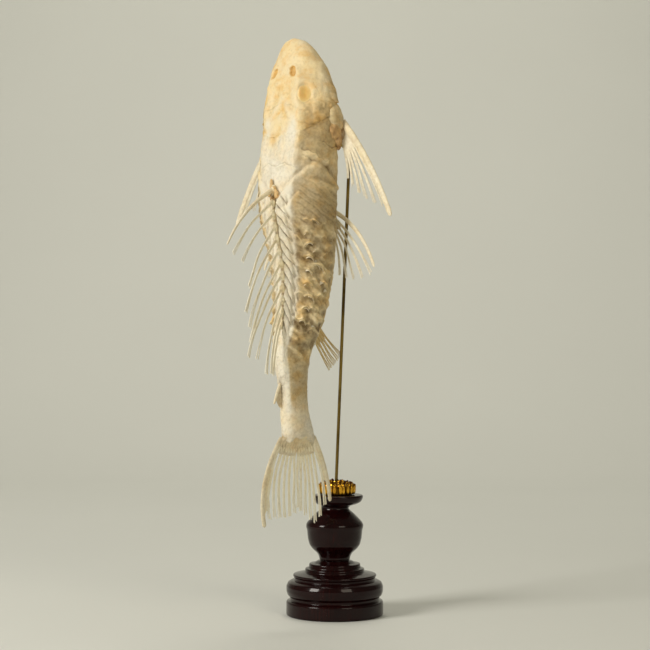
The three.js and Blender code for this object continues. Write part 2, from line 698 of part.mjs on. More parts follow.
const fish = new THREE.Group();
fish.add(piece("head", head(), HEAD_BONE));
fish.add(piece("mouth_lips", lips(), LIP_SKIN));
fish.add(piece("shoulder", shoulder(), BODY_BONE));
fish.add(piece("trunk", trunk(), BODY_BONE));
fish.add(piece("tail_stalk", tailStalk(), BODY_BONE));
fish.add(piece("dorsal_fin", dorsalFin(), FIN_BONE));
fish.add(piece("adipose_fin", adiposeFin(), FIN_BONE));
fish.add(piece("anal_fin", analFin(), FIN_BONE));
fish.add(piece("tail_fin", tailFin(), FIN_BONE));
for (const [hand, side] of [["left", -1], ["right", 1]]) {
  fish.add(piece(`eye_${hand}`, eye(side), EYE_SKIN));
  fish.add(piece(`cheek_${hand}`, cheek(side), HEAD_BONE));
  fish.add(piece(`girdle_${hand}`, girdle(side), HEAD_BONE));
  fish.add(piece(`pectoral_fin_${hand}`, pairedFin(side, PECTORAL), FIN_BONE));
  fish.add(piece(`pelvic_fin_${hand}`, pairedFin(side, PELVIC), FIN_BONE));
}

const mount = new THREE.Group();
mount.add(piece("base_foot", baseFoot(), DARK_WOOD));
mount.add(piece("base_vase", baseVase(), DARK_WOOD));
mount.add(piece("rosette", rosette(), GILT));
mount.add(piece("rod", rod(), BRASS));

const model = new THREE.Group();
model.add(fish, mount);
export default model;
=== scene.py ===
import bpy
import numpy as np
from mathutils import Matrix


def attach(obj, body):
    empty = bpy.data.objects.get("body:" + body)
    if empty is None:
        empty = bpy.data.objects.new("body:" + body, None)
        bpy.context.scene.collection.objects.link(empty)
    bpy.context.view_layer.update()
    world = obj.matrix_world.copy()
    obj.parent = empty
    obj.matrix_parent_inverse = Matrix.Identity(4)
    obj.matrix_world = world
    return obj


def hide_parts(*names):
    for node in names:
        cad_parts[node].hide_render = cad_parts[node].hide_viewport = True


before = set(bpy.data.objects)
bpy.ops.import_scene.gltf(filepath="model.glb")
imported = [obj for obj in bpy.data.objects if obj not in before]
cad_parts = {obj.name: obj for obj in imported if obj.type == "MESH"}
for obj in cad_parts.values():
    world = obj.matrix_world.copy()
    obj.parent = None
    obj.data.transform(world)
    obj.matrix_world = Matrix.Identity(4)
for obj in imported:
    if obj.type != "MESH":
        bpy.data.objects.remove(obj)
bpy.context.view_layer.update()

# ------------------------------------------------------------------------ the turned base
# Two pieces of close-grained hardwood turned on a lathe, the vase's spigot glued into the foot,
# stained nearly black and finished with many coats of clear shellac.
MM = 0.001
FOOT_PROFILE = [
    (0, 0), (39.2, 0), (40, 0.8), (40, 11), (39.2, 12), (37, 12.8), (37, 15),
    (39, 17), (39.9, 20), (39.9, 24), (38.6, 27), (35.6, 28.6), (33.4, 29), (33.4, 31),
    (34.4, 32.2), (34.2, 33.6), (29, 34.6), (24.6, 35.6), (24.3, 38.4), (21.4, 39),
    (21, 42.4), (17, 43), (13.4, 45), (0, 45),
]
VASE_PROFILE = [
    (0, 45.3), (12.6, 45.3), (12.8, 48), (14.4, 51), (18.4, 54.6), (20.8, 57.8), (22.2, 63),
    (22.9, 70.6), (23.6, 72), (23.6, 74.6), (22.4, 76.8), (19.4, 80), (15.4, 84),
    (12, 86.6), (11.2, 88.4), (12.6, 90.2), (16.6, 91.4), (19.2, 93.4), (20.6, 96), (21, 98.2),
    (20, 99), (0, 99),
]
RIM_SHIFT = 2.6  # the vase's rim was turned off its axis by this much
RIM_SHIFT_FROM, RIM_SHIFT_TO = 88, 93  # the heights at the neck between which that sets in
FOOT_EDGE = 0.45  # radius to which the foot's arrises are rubbed down
VASE_EDGE = 0.8
TURNED_AROUND = 144
SHARP_FROM = 40  # degrees
SMOOTH_TO = 70  # the same for turned wood, whose arrises are rounded off


def linear(code):
    """An sRGB hex colour as linear red, green, blue and alpha."""
    s = np.array([int(code[i:i + 2], 16) / 255 for i in (1, 3, 5)])
    lit = np.where(s <= 0.04045, s / 12.92, ((s + 0.055) / 1.055) ** 2.4)
    return (*lit.tolist(), 1.0)


def add(tree, kind, inputs=(), **settings):
    """Adds a node with its settings. An input gets a value, or a link from another's output: from
    its first one where the node itself is given."""
    made = tree.nodes.new(kind)
    for key, value in settings.items():
        setattr(made, key, value)
    for key, value in dict(inputs).items():
        if isinstance(value, bpy.types.Node):
            value = value.outputs[0]
        if isinstance(value, bpy.types.NodeSocket):
            tree.links.new(value, made.inputs[key])
        else:
            made.inputs[key].default_value = value
    return made


def blank_material(name):
    """A material whose node tree holds Texture Coordinate alone, with that tree and the Object
    coordinates."""
    made = bpy.data.materials.new(name)
    made.use_nodes = True
    made.node_tree.nodes.clear()
    return made, made.node_tree, add(made.node_tree, "ShaderNodeTexCoord").outputs["Object"]


def scale_for(size):
    """A texture's scale for a pattern whose features are that many millimetres across."""
    return 1000 / size


def closed(rings, ends="point", **marks):
    """Closed shells from stacks of rings: rings[k, i, j] is point j of ring i of shell k, without
    the k for a single shell, and each ring closes on itself. The first and last ring are closed by
    a fan about their middle, or, for a flat plate, by a strip between the two halves of the ring.
    A shell that comes out inside out is turned round. A mark is one number for each point of the
    rings. Gives the points, arrays of faces and the marks."""
    rings = rings.reshape(-1, *rings.shape[-3:])
    count, rows, cols = rings.shape[:3]
    middle = np.stack((rings[:, 0].mean(axis=1), rings[:, -1].mean(axis=1)), axis=1)
    points = np.concatenate((rings.reshape(count, rows * cols, 3), middle), axis=1)
    j = np.arange(cols)
    ahead = (j + 1) % cols
    ring = np.arange(rows - 1)[:, None] * cols
    quads = np.stack((ring + j, ring + ahead, ring + ahead + cols, ring + j + cols), axis=-1)
    quads = quads.reshape(-1, 4)
    last = (rows - 1) * cols
    if ends == "strip":
        j = j[: cols // 2 - 1]
        front = np.stack((j, cols - 1 - j, cols - 2 - j, j + 1), axis=-1)
        quads = np.concatenate((quads, front, front[:, ::-1] + last))
        fans = np.zeros((0, 3), int)
    else:
        front = np.stack((np.full(cols, rows * cols), ahead, j), axis=-1)
        rear = np.stack((np.full(cols, rows * cols + 1), last + j, last + ahead), axis=-1)
        fans = np.concatenate((front, rear))
    volume = 0
    for corners in (quads[:, :3], quads[:, [0, 2, 3]], fans):
        a, b, c = np.moveaxis(points[:, corners], 2, 0)
        volume = volume + np.einsum("kfx,kfx->k", a, np.cross(b, c))
    faces = []
    for k in range(count):
        turn = -1 if volume[k] < 0 else 1
        faces += [part[:, ::turn] + k * points.shape[1] for part in (quads, fans)]
    kept = {}
    for name, mark in marks.items():
        mark = np.broadcast_to(mark, rings.shape[:3]).astype(float)
        ends_mark = np.stack((mark[:, 0].mean(axis=1), mark[:, -1].mean(axis=1)), axis=1)
        kept[name] = np.concatenate((mark.reshape(count, -1), ends_mark), axis=1).ravel()
    return points.reshape(-1, 3), faces, kept


def put_in_scene(name, data):
    """A new object of that mesh, light or camera, at the origin and unturned."""
    made = bpy.data.objects.new(name, data)
    bpy.context.scene.collection.objects.link(made)
    return made


def make_piece(name, shells, material, nodes=(), sharp=SHARP_FROM):
    """One object from closed shells, with its marks as attributes, riding on the frame. Edges that
    turn by more than sharp degrees stay crisp."""
    mesh = bpy.data.meshes.new(name)
    faces, base = [], 0
    for points, parts, _ in shells:
        for part in parts:
            faces += (part + base).tolist()
        base += len(points)
    mesh.from_pydata((np.concatenate([s[0] for s in shells]) * MM).tolist(), [], faces)
    for mark in shells[0][2]:
        values = np.concatenate([s[2][mark] for s in shells]).astype(np.float32)
        mesh.attributes.new(mark, "FLOAT", "POINT").data.foreach_set("value", values)
    mesh.shade_smooth()
    mesh.set_sharp_from_angle(angle=np.radians(sharp))
    mesh.materials.append(material)
    made = put_in_scene(name, mesh)
    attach(made, "root")
    if nodes:
        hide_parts(*nodes)


def softened(profile, edge, spacing=0.3):
    """A profile with its corners rubbed down: resampled evenly along its length, then averaged
    with a bell curve as wide as the edge, mirrored through its two ends so that they stay put."""
    p = np.array(profile, float)
    run = np.concatenate(([0], np.cumsum(np.hypot(*np.diff(p, axis=0).T))))
    s = np.linspace(0, run[-1], int(run[-1] / spacing))
    even = np.stack((np.interp(s, run, p[:, 0]), np.interp(s, run, p[:, 1])), axis=1)
    reach = int(3 * edge / spacing) + 1
    weight = np.exp(-0.5 * (np.arange(-reach, reach + 1) * spacing / edge) ** 2)
    weight /= weight.sum()
    padded = np.concatenate((
        2 * even[0] - even[reach:0:-1], even, 2 * even[-1] - even[-2:-reach - 2:-1]))
    return np.stack([np.convolve(padded[:, c], weight, "valid") for c in (0, 1)], axis=1)


def lathed(profile):
    """The profile carried round the Z axis: ring i has the profile's radius and height there."""
    inner = profile[1:-1]
    angle = np.linspace(0, 2 * np.pi, TURNED_AROUND, endpoint=False)
    x = inner[:, :1] * np.cos(angle)
    y = inner[:, :1] * np.sin(angle)
    z = np.broadcast_to(inner[:, 1:], x.shape)
    return np.stack((x, y, z), axis=-1)


def lacquered_hardwood():
    """French-polished dark hardwood: red-brown streaks that only show where the light catches
    them, under a deep clear gloss with faint polishing waves."""
    made, tree, place = blank_material("lacquered_hardwood")
    long_grain = add(tree, "ShaderNodeMapping", {"Vector": place, "Scale": (1, 1, 0.07)})
    streak = add(tree, "ShaderNodeTexNoise", {
        "Vector": long_grain, "Scale": scale_for(1.7), "Detail": 5, "Roughness": 0.6})
    broad = add(tree, "ShaderNodeTexNoise", {"Vector": place, "Scale": scale_for(24), "Detail": 2})
    band = add(tree, "ShaderNodeMapRange", {
        "Value": streak, "From Min": 0.36, "From Max": 0.72})
    figure = add(tree, "ShaderNodeMixRGB", {
        "Fac": band, "Color1": linear("#120304"), "Color2": linear("#2E0C0A")})
    depth = add(tree, "ShaderNodeMixRGB", {
        "Fac": broad, "Color1": figure, "Color2": linear("#100303")})
    wave = add(tree, "ShaderNodeTexNoise", {"Vector": place, "Scale": scale_for(9), "Detail": 1})
    bump = add(tree, "ShaderNodeBump", {
        "Height": wave, "Strength": 0.06, "Distance": 0.0004})
    shader = add(tree, "ShaderNodeBsdfPrincipled", {
        "Base Color": depth, "Roughness": 0.25, "IOR": 1.45, "Specular IOR Level": 0.06,
        "Coat Weight": 0.5, "Coat Roughness": 0.06, "Coat IOR": 1.4, "Coat Normal": bump})
    add(tree, "ShaderNodeOutputMaterial", {"Surface": shader})
    return made


hardwood = lacquered_hardwood()
make_piece("turned_foot", [closed(lathed(softened(FOOT_PROFILE, FOOT_EDGE)))], hardwood,
           ["base_foot"], sharp=SMOOTH_TO)
vase = lathed(softened(VASE_PROFILE, VASE_EDGE))
shifted = (vase[..., 2] - RIM_SHIFT_FROM) / (RIM_SHIFT_TO - RIM_SHIFT_FROM)
vase[..., 0] += RIM_SHIFT * np.clip(shifted, 0, 1)
make_piece("turned_vase", [closed(vase)], hardwood, ["base_vase"], sharp=SMOOTH_TO)

# ------------------------------------------------------------------------ the gilt rosette
# A cast and gilded brass cup of upright petals about a beaded boss, through which the rod passes.
# Gilding leaves the crests bright and the recesses brown.
ROSETTE_X = 1.6
ROSETTE_Z = 99.3
ROSETTE_EDGE = 0.5
ROSETTE_BODY = [
    (0, 0), (13.2, 0), (13.8, 1), (13.4, 5), (12, 7), (8, 7.4), (6, 8.6), (3.4, 10.4),
    (1.6, 11), (0, 11),
]
# Each ring of petals: how many, its radius, foot and top, half width, half depth, lean outwards.
PETAL_RINGS = [
    (25, 14.6, 0.2, 8.4, 1.7, 1.4, 0.7),
    (25, 13.4, 5.6, 10.0, 1.5, 1.1, -0.7),
    (17, 9.6, 7.0, 10.8, 1.6, 1.3, 1.0),
    (9, 5.0, 8.8, 11.8, 1.4, 1.2, 0.4),
]


def petals(count, radius, low, high, half_width, half_depth, lean, seed):
    """Upright lobes round a ring. Lobe k stands at angle 2 pi k / count; its outline swells as a
    root of sin(pi u) from foot to top, and its outer face is creased down the middle."""
    chance = np.random.default_rng(seed)
    around = np.linspace(0, 2 * np.pi, count, endpoint=False)[:, None, None]
    around = around + chance.normal(0, 0.035, around.shape)
    u = np.linspace(0.02, 0.98, 11)[None, :, None]
    v = np.linspace(0, 2 * np.pi, 12, endpoint=False)[None, None, :]
    swell = np.sin(np.pi * u) ** 0.45
    crease = 1 - 0.35 * np.exp(-(np.sin(v) / 0.35) ** 2) * (np.cos(v) > 0)
    across = half_width * swell * np.sin(v)
    out = radius + lean * u ** 3 + half_depth * swell * np.cos(v) * crease
    out = out + chance.normal(0, 0.25, (count, 1, 1)) * u
    top = high + chance.normal(0, 0.45, (count, 1, 1))
    x = ROSETTE_X + out * np.sin(around) + across * np.cos(around)
    y = out * np.cos(around) - across * np.sin(around)
    z = np.broadcast_to(ROSETTE_Z + low + (top - low) * u, x.shape)
    recess = np.clip(1.2 - 1.6 * swell * np.cos(v), 0, 1)
    return closed(np.stack((x, y, z), axis=-1), stain=recess)


def gilt_brass():
    """Fire-gilded casting: warm yellow metal, bright on the crests, brown where the burnisher
    never reached, with a faintly pitted skin."""
    made, tree, place = blank_material("gilt_brass")
    recess = add(tree, "ShaderNodeAttribute", attribute_name="stain").outputs["Fac"]
    pits = add(tree, "ShaderNodeTexNoise", {"Vector": place, "Scale": scale_for(0.9), "Detail": 3})
    worn = add(tree, "ShaderNodeMapRange", {
        "Value": pits, "To Min": -0.25, "To Max": 0.35})
    grime = add(tree, "ShaderNodeMath", {0: recess, 1: worn},
                operation="ADD", use_clamp=True)
    colour = add(tree, "ShaderNodeMixRGB", {
        "Fac": grime, "Color1": linear("#EFB438"), "Color2": linear("#4E2608")})
    rough = add(tree, "ShaderNodeMapRange", {
        "Value": grime, "To Min": 0.2, "To Max": 0.55})
    bump = add(tree, "ShaderNodeBump", {
        "Height": pits, "Strength": 0.35, "Distance": 0.0004})
    shader = add(tree, "ShaderNodeBsdfPrincipled", {
        "Base Color": colour, "Metallic": 1.0, "Roughness": rough,
        "Normal": bump})
    add(tree, "ShaderNodeOutputMaterial", {"Surface": shader})
    return made


cup = lathed(softened(ROSETTE_BODY, ROSETTE_EDGE)) + np.array([ROSETTE_X, 0, ROSETTE_Z])
rosette_shells = [closed(cup, stain=0.75)]
rosette_shells += [petals(*ring, seed=i) for i, ring in enumerate(PETAL_RINGS)]
make_piece("gilt_rosette", rosette_shells, gilt_brass(), ["rosette"])

# ------------------------------------------------------------------------ the form of the fish
# The armour's sections from snout to tail, which every plate and fin below is laid on: distance
# from the snout, half width, back, belly, the axis's place, and the turn of the back.
SNOUT_Z = 470
SECTIONS = np.array([
    (0, 4.3, 2.8, 2, -33, -33, 46), (4, 11.4, 7, 4.5, -31.6, -33, 46),
    (12, 19.1, 11.6, 6.5, -29.9, -33, 46), (28, 27.8, 18, 10, -27.9, -33, 46),
    (46, 34.6, 22.3, 13.5, -27, -33, 46), (70, 37.2, 24.8, 16.5, -27, -33, 46),
    (98, 35.7, 26, 19, -29, -34, 46), (135, 34.4, 26.5, 21, -29.6, -35, 45.5),
    (187, 26.6, 22.2, 18.5, -26.5, -37, 43), (227, 20.8, 18.3, 16, -29.6, -39, 41),
    (259, 13, 14.5, 13, -34.8, -41, 46), (291, 9.3, 12, 11.3, -33.8, -43, 51),
    (322, 8, 15, 14.5, -29.5, -45, 54),
])
BACK_ROUNDNESS = 1.95
BELLY_ROUNDNESS = 2.8


def section(at):
    """Half width, back, belly, axis x, axis y and turn at that distance: a cubic through the
    stations whose slopes are the harmonic means of the chords either side, so nothing bulges."""
    knots, rows = SECTIONS[:, 0], SECTIONS[:, 1:]
    chord = np.diff(rows, axis=0) / np.diff(knots)[:, None]
    product, total = chord[:-1] * chord[1:], chord[:-1] + chord[1:]
    inner = np.where(product > 0, 2 * product / np.where(product > 0, total, 1), 0)
    slope = np.concatenate((chord[:1], inner, chord[-1:]))
    at = np.asarray(at, float)
    i = np.clip(np.searchsorted(knots, at, side="right") - 1, 0, len(knots) - 2)
    span = (knots[i + 1] - knots[i])[..., None]
    s = (at[..., None] - knots[i][..., None]) / span
    rise = rows[i] * (1 - s) ** 2 * (1 + 2 * s) + rows[i + 1] * s * s * (3 - 2 * s)
    both = rise + span * (slope[i] * s * (1 - s) ** 2 - slope[i + 1] * s * s * (1 - s))
    return np.moveaxis(both, -1, 0)


def beside(at, side, up):
    """The point beside and above the axis, in the fish's own turned frame."""
    x, y, turn = section(at)[3:]
    turn = np.radians(turn)
    return np.stack(np.broadcast_arrays(
        x + side * np.cos(turn) - up * np.sin(turn),
        y - side * np.sin(turn) - up * np.cos(turn),
        SNOUT_Z - np.asarray(at, float)), axis=-1)


def unit(way):
    """The same directions, one long."""
    return way / np.linalg.norm(way, axis=-1, keepdims=True)


def heading(at, side, up, tailward):
    """A unit direction sideways, towards the back and towards the tail, at that distance."""
    turn = np.radians(section(at)[5])
    return unit(np.stack(np.broadcast_arrays(
        side * np.cos(turn) - up * np.sin(turn),
        -side * np.sin(turn) - up * np.cos(turn), -tailward), axis=-1).astype(float))


def on_skin(at, angle, lift=0.0):
    """A point on the armour. Angle 0 is the middle of the back, positive to the right; the outline
    is a superellipse, rounder over the back than under the belly, grown all round by the lift."""
    at, angle, lift = np.broadcast_arrays(np.asarray(at, float), angle, lift)
    width, back, belly = section(at)[:3]
    c, s = np.cos(angle), np.sin(angle)
    power = 2 / np.where(c >= 0, BACK_ROUNDNESS, BELLY_ROUNDNESS)
    side = (width + lift) * np.sign(s) * np.abs(s) ** power
    up = (np.where(c >= 0, back, belly) + lift) * np.sign(c) * np.abs(c) ** power
    return beside(at, side, up)


def grain(points, size, seed=0):
    """A smooth random field from -1 to 1: values at the corners of cubes of that many
    millimetres, blended by a smoothstep."""
    q = np.asarray(points) / size + 17.3 * seed
    floor = np.floor(q)
    f = q - floor
    f = f * f * (3 - 2 * f)
    total = 0
    for corner in np.ndindex(2, 2, 2):
        spot = (floor + corner) @ np.array([127.1, 311.7, 74.7])
        value = np.sin(spot) * 43758.5453
        value = 2 * (value - np.floor(value)) - 1
        total = total + value * np.prod(np.where(np.array(corner) == 1, f, 1 - f), axis=-1)
    return total


def bell(x, half):
    """1 in the middle, e to the minus square of x over the half width beside it."""
    return np.exp(-(x / half) ** 2)


def step(x, low, high):
    """0 below low, 1 above high, and 3 s squared less 2 s cubed over the share s between them."""
    s = np.clip((x - low) / (high - low), 0, 1)
    return s * s * (3 - 2 * s)


def between(x, rise, full, fall, gone):
    """1 from full to fall, and a smooth step down to 0 at rise before it and at gone behind."""
    return step(x, rise, full) * (1 - step(x, fall, gone))


# ------------------------------------------------------------------------ the brass rod
# One drawn rod, held in the rosette, straight up past the fish's right side and bent over into
# the breast. It has dulled to a dark brown brass with a bright line where it has been handled.
ROD_RADIUS = 1.3
ROD_FOOT = np.array([1, 0, ROSETTE_Z + 4])
ROD_TOP = np.array([11.8, -3, 372.0])
ROD_ENTRY_AT = 78
ROD_BITE = 7  # how deep it enters the breast
ROD_BEND = 19, 12  # how far the bend's two handles reach, above the top and out from the breast


def tubes(paths, half, flat, thin=1.0, around=10, **marks):
    """Rods of oval section along paths[k, i]: at each point the half width lies along the cross
    product of flat and the tangent, and the half thickness is thin times it."""
    way = unit(np.gradient(paths, axis=1))
    wide = unit(np.cross(flat, way))
    deep = np.cross(way, wide)
    angle = np.linspace(0, 2 * np.pi, around, endpoint=False)
    half = np.broadcast_to(half, paths.shape[:2])[..., None, None]
    ring = wide[:, :, None] * np.sin(angle)[:, None]
    ring = ring + thin * deep[:, :, None] * np.cos(angle)[:, None]
    marks = {k: np.broadcast_to(v, paths.shape[:2])[..., None] for k, v in marks.items()}
    return closed(paths[:, :, None] + half * ring, **marks)


def rod_route():
    """Straight from the rosette to the top, then a cubic curve over into the breast."""
    belly = section(ROD_ENTRY_AT)[2]
    knee = ROD_TOP + ROD_BEND[0] * unit(ROD_TOP - ROD_FOOT)
    approach = beside(ROD_ENTRY_AT, 0, -belly - ROD_BEND[1])
    end = beside(ROD_ENTRY_AT, 0, -belly + ROD_BITE)
    s = np.linspace(0, 1, 60)[:, None]
    straight = ROD_FOOT + (ROD_TOP - ROD_FOOT) * s[:-1]
    bend = (ROD_TOP * (1 - s) ** 3 + 3 * knee * s * (1 - s) ** 2
            + 3 * approach * s * s * (1 - s) + end * s ** 3)
    return np.concatenate((straight, bend))[None]


def drawn_brass():
    """Drawn brass gone brown with age: long draw marks, and wear that keeps parts of it bright."""
    made, tree, place = blank_material("drawn_brass")
    drawn = add(tree, "ShaderNodeMapping", {"Vector": place, "Scale": (1, 1, 0.03)})
    marks = add(tree, "ShaderNodeTexNoise", {
        "Vector": drawn, "Scale": scale_for(0.5), "Detail": 3})
    age = add(tree, "ShaderNodeTexNoise", {"Vector": place, "Scale": scale_for(30), "Detail": 4})
    dull = add(tree, "ShaderNodeMapRange", {
        "Value": age, "From Min": 0.35, "From Max": 0.65})
    colour = add(tree, "ShaderNodeMixRGB", {
        "Fac": dull, "Color1": linear("#A38A4A"), "Color2": linear("#5C4A24")})
    rough = add(tree, "ShaderNodeMapRange", {
        "Value": marks, "To Min": 0.22, "To Max": 0.42})
    shader = add(tree, "ShaderNodeBsdfPrincipled", {
        "Base Color": colour, "Metallic": 1.0, "Roughness": rough})
    add(tree, "ShaderNodeOutputMaterial", {"Surface": shader})
    return made


rod_plane = np.cross(ROD_TOP - ROD_FOOT, beside(ROD_ENTRY_AT, 0, 0) - ROD_TOP)
make_piece("rod_bent", [tubes(rod_route(), ROD_RADIUS, rod_plane, around=16)], drawn_brass(),
           ["rod"])

# ------------------------------------------------------------------------ the skull
# The roof, snout and cheeks of the skull, fused bones joined at fine sutures. Degreased and
# bleached, but still creamy yellow with the fat in it; the snout carries fine spinelets.
HEAD_CUT_AT = 62
HEAD_CUT_SLOPE = 0.8
NOSTRIL_AT, NOSTRIL_ANGLE = 29, 0.42
NOSTRIL_HALF_LONG, NOSTRIL_HALF_WIDE, NOSTRIL_DEPTH = 4.1, 3.2, 2.2
HEAD_LEAN = -0.1  # the snout's own midline, turned a little to the left
BROW_AT, BROW_ANGLE, BROW_HIGH = 44, 0.5, 1.3
ROOF_HOLLOWS = [(66, 0.2, 9, 5), (56, -0.35, 9, 6)]  # place, angle, half sizes along and across
EYE_AT, EYE_ANGLE = 48, 0.69
EYE_HALF_LONG, EYE_HALF_WIDE = 7.4, 6.0
MOUTH_AT = 25
CREASE_ANGLE = 0.55  # where the flat roof of the head and nape turns down to the flank
SKULL_SUTURES = [  # each a line across the skull, its half width, and its zigzag
    ([(53, 0.02), (56, 0.3), (60, 0.62)], 0.5, 0.8),
    ([(38, 0.95), (48, 1.12), (60, 1.2)], 0.6, 0.5),
    ([(70, 0.62), (74, 1.0), (72, 1.4)], 0.55, 1.2),
]
ROUTE_FADE = 0.08  # radians over which such a line fades out past its ends
MOUTH_HALF_LONG, MOUTH_HALF_WIDE, MOUTH_DEPTH = 10.2, 11.4, 4.2
FULL_WIDTH = 34  # half width of the fish where its creases have their full height
MM_PER_RADIAN = 30  # about how far a radian reaches round it there
BONE_SMOOTH_TO = 75  # degrees up to which the relief of a plate is shaded smooth
AMBER = "#E0B468"  # bone soaked through with oil


def rear_of_skull(angle):
    """How far back the skull reaches at that angle: further along the nape than at the throat."""
    c = np.cos(angle)
    back, belly = section(HEAD_CUT_AT)[1:3]
    up = np.where(c >= 0, back * np.abs(c) ** (2 / BACK_ROUNDNESS),
                  -belly * np.abs(c) ** (2 / BELLY_ROUNDNESS))
    return HEAD_CUT_AT + HEAD_CUT_SLOPE * up


def roof(at, angle):
    """The flat back between two long creases, strong on the head, slight along the trunk and
    strong again on the stalk: the middle is lowered and the creases are raised."""
    places = (14, 44, 100, 118, 150, 240, 262, 300, 318)
    strength = np.interp(at, places, (0, 1.5, 1.5, 0.8, 0.5, 0.4, 1, 1, 0.3))
    crease = np.interp(at, (104, 150, 243, 267, 291), (CREASE_ANGLE, 0.5, 0.52, 0.8, 0.88))
    width = section(at)[0]
    slim = np.clip(width / FULL_WIDTH, 0.2, 1) ** 0.55
    sharpness = 0.13 * np.clip(FULL_WIDTH / width, 1, 2.2)
    turn = np.abs(angle)
    return strength * slim * (1.1 * bell(turn - crease, sharpness) - 1.3 * bell(turn, 0.8 * crease))


def girth(at, angle):
    """Millimetres round the armour for each radian there, as on an ellipse."""
    width, back = section(at)[:2]
    return np.hypot(width * np.cos(angle), back * np.sin(angle))


def away(at, angle, at0, angle0, half_along, half_across):
    """Distance from a place on the armour in units of an oval's half axes, in millimetres along
    and across the fish."""
    across = (angle - angle0) * girth(at0, angle0)
    return np.hypot((at - at0) / half_along, across / half_across)


def streaks(along, across, seed):
    """The random field on the armour laid flat, so that it can be stretched and slanted: along and
    across count its grains in the two directions."""
    return grain(np.stack(np.broadcast_arrays(along, across, 0.0), axis=-1), 1, seed)


def granules(points, size, seed):
    """Rounded grains: the field's crests, squared up so that they stand as separate bumps."""
    return np.clip(grain(points, size, seed), 0, 1) ** 0.8


def warped(at, angle, points, size, much, per_radian=32):
    """The same places pushed about by a smooth field, so that edges on them run unevenly."""
    turned = much / per_radian * grain(points, size, 13)
    return at + much * grain(points, size, 12), angle + turned


def along_route(at, angle, route):
    """How far behind a line across the flank a point lies, and 1 within the line's span. The line
    is places (at, angle) in order of angle."""
    route = np.array(route)
    turn = np.abs(angle)
    behind = at - np.interp(turn, route[:, 1], route[:, 0])
    low, high = route[0, 1], route[-1, 1]
    return behind, between(turn, low - ROUTE_FADE, low, high, high + ROUTE_FADE)


def suture(at, angle, route, half, zigzag=0.0, pitch=3.0):
    """1 on a suture that zigzags along its line, falling to 0 beside it."""
    behind, within = along_route(at, angle, route)
    tooth = np.abs((np.abs(angle) * MM_PER_RADIAN / pitch) % 2 - 1)
    return bell(behind - zigzag * tooth, half) * within


def brow(at, angle):
    """The roof with the bony ridge over each eye."""
    ridge = bell(at - BROW_AT, 11) * bell(np.abs(angle) - BROW_ANGLE, 0.13)
    return roof(at, angle) + BROW_HIGH * ridge


def skull_relief(at, angle, points):
    """Lift of the skull's surface above the plain section, how stained it is there, and how much
    fat has soaked in besides: the rimmed orbits and nostrils, granules behind the eye, folds and
    two hollows on the roof, and the sutures. Much of the darkening is painted shade and light:
    darker in the nostril pits, between the granules, in the hollows, in the folds' troughs and
    below the crease, lighter on the folds' crests."""
    at, angle = warped(at, angle, points, 9, 0.7)
    turn = np.abs(angle)
    orbit = away(at, turn, EYE_AT, EYE_ANGLE, EYE_HALF_LONG, EYE_HALF_WIDE)
    lift = brow(at, angle) - 0.9 * (1 - step(orbit, 0.8, 1.2)) + 0.15 * bell(orbit - 1.3, 0.25)
    along = np.abs(at - NOSTRIL_AT) / NOSTRIL_HALF_LONG
    across = np.abs(np.abs(angle - HEAD_LEAN) - NOSTRIL_ANGLE) / NOSTRIL_HALF_WIDE
    across = across * girth(NOSTRIL_AT, NOSTRIL_ANGLE)
    nostril = (along ** 3 + across ** 3) ** (1 / 3) + 0.1 * grain(points, 2, 14)
    pit = 1 - step(nostril, 0.62, 1.1)
    lift -= NOSTRIL_DEPTH * pit
    lift += 0.4 * bell(nostril - 1.35, 0.25)
    behind_eye = step(at, 50, 60) * between(turn, 0.62, 0.8, 1.6, 1.9)
    snout = (1 - step(at, 22, 40)) * (1 - step(turn, 1.2, 2.0))
    lift += 0.9 * behind_eye * granules(points, 2.6, 1) + 0.12 * snout * granules(points, 1.3, 2)
    uneven = 1.2 * grain(points, 13, 3) + 0.7 * grain(points, 5.5, 15)
    uneven += 0.16 * grain(points, 2.2, 4)
    folded = streaks(at / 14 + turn, (turn * MM_PER_RADIAN - 0.5 * at) / 5, 19)
    folded = folded * step(at, 34, 46) * (1 - step(turn, 0.5, 0.7))
    uneven += 1.9 * folded
    lift += uneven * step(at, 5, 20) * step(orbit, 0.95, 1.5)
    hollow = sum(bell(away(at, angle, *place), 1) for place in ROOF_HOLLOWS)
    lift -= 0.6 * hollow
    seam = np.clip(sum(suture(at, angle, *line) for line in SKULL_SUTURES), 0, 1)
    lift -= 0.22 * seam
    # The dark suture lines are the bone's own; the darkening in the nostril pits is painted shade.
    stain = 0.2 * seam + 0.2 * pit
    # Painted shade between the granules behind the eye and in the roof's hollows; painted light on
    # the folds' crests.
    stain += 0.34 * behind_eye * (1 - granules(points, 2.6, 1)) + 0.1 * hollow - 0.1 * folded
    # Painted shade on the flank behind the cheek and on the head's side below the crease.
    stain += painted_shade_behind_cheek(at, angle) + 0.1 * step(turn, 0.5, 0.7) * step(at, 40, 70)
    return lift, stain, 1.9 * pit - 0.55 * folded + 0.25 * behind_eye


def cream(at, angle, points):
    """How yellow the bone is: creamy on the head, nearly white behind it along the nape, and
    between the two on the flank below the crease. The head's border is ragged and streaked."""
    turn = np.abs(angle)
    border = np.interp(turn, (0, 0.3, 0.45, 0.62, 0.9, 1.4), (87, 80, 74, 86, 93, 98))
    border = border + 5 * grain(points, 12, 5)
    border = border + 9 * streaks(at / 30, angle * MM_PER_RADIAN / 4, 16)
    head = 1 - step(at, border - 15, border + 13)
    flank = between(turn, 0.5, 0.8, 1.8, 2.3)
    return 0.12 + 0.8 * np.maximum(head, 0.8 * flank) + 0.35 * flank * bell(at - 78, 18)


def painted_shade_behind_cheek(at, angle):
    """Painted shade on the smooth flank behind the cheek, which darkens it."""
    return 0.2 * bell(at - 80, 13) * between(np.abs(angle), 0.52, 0.68, 1.7, 2.0)


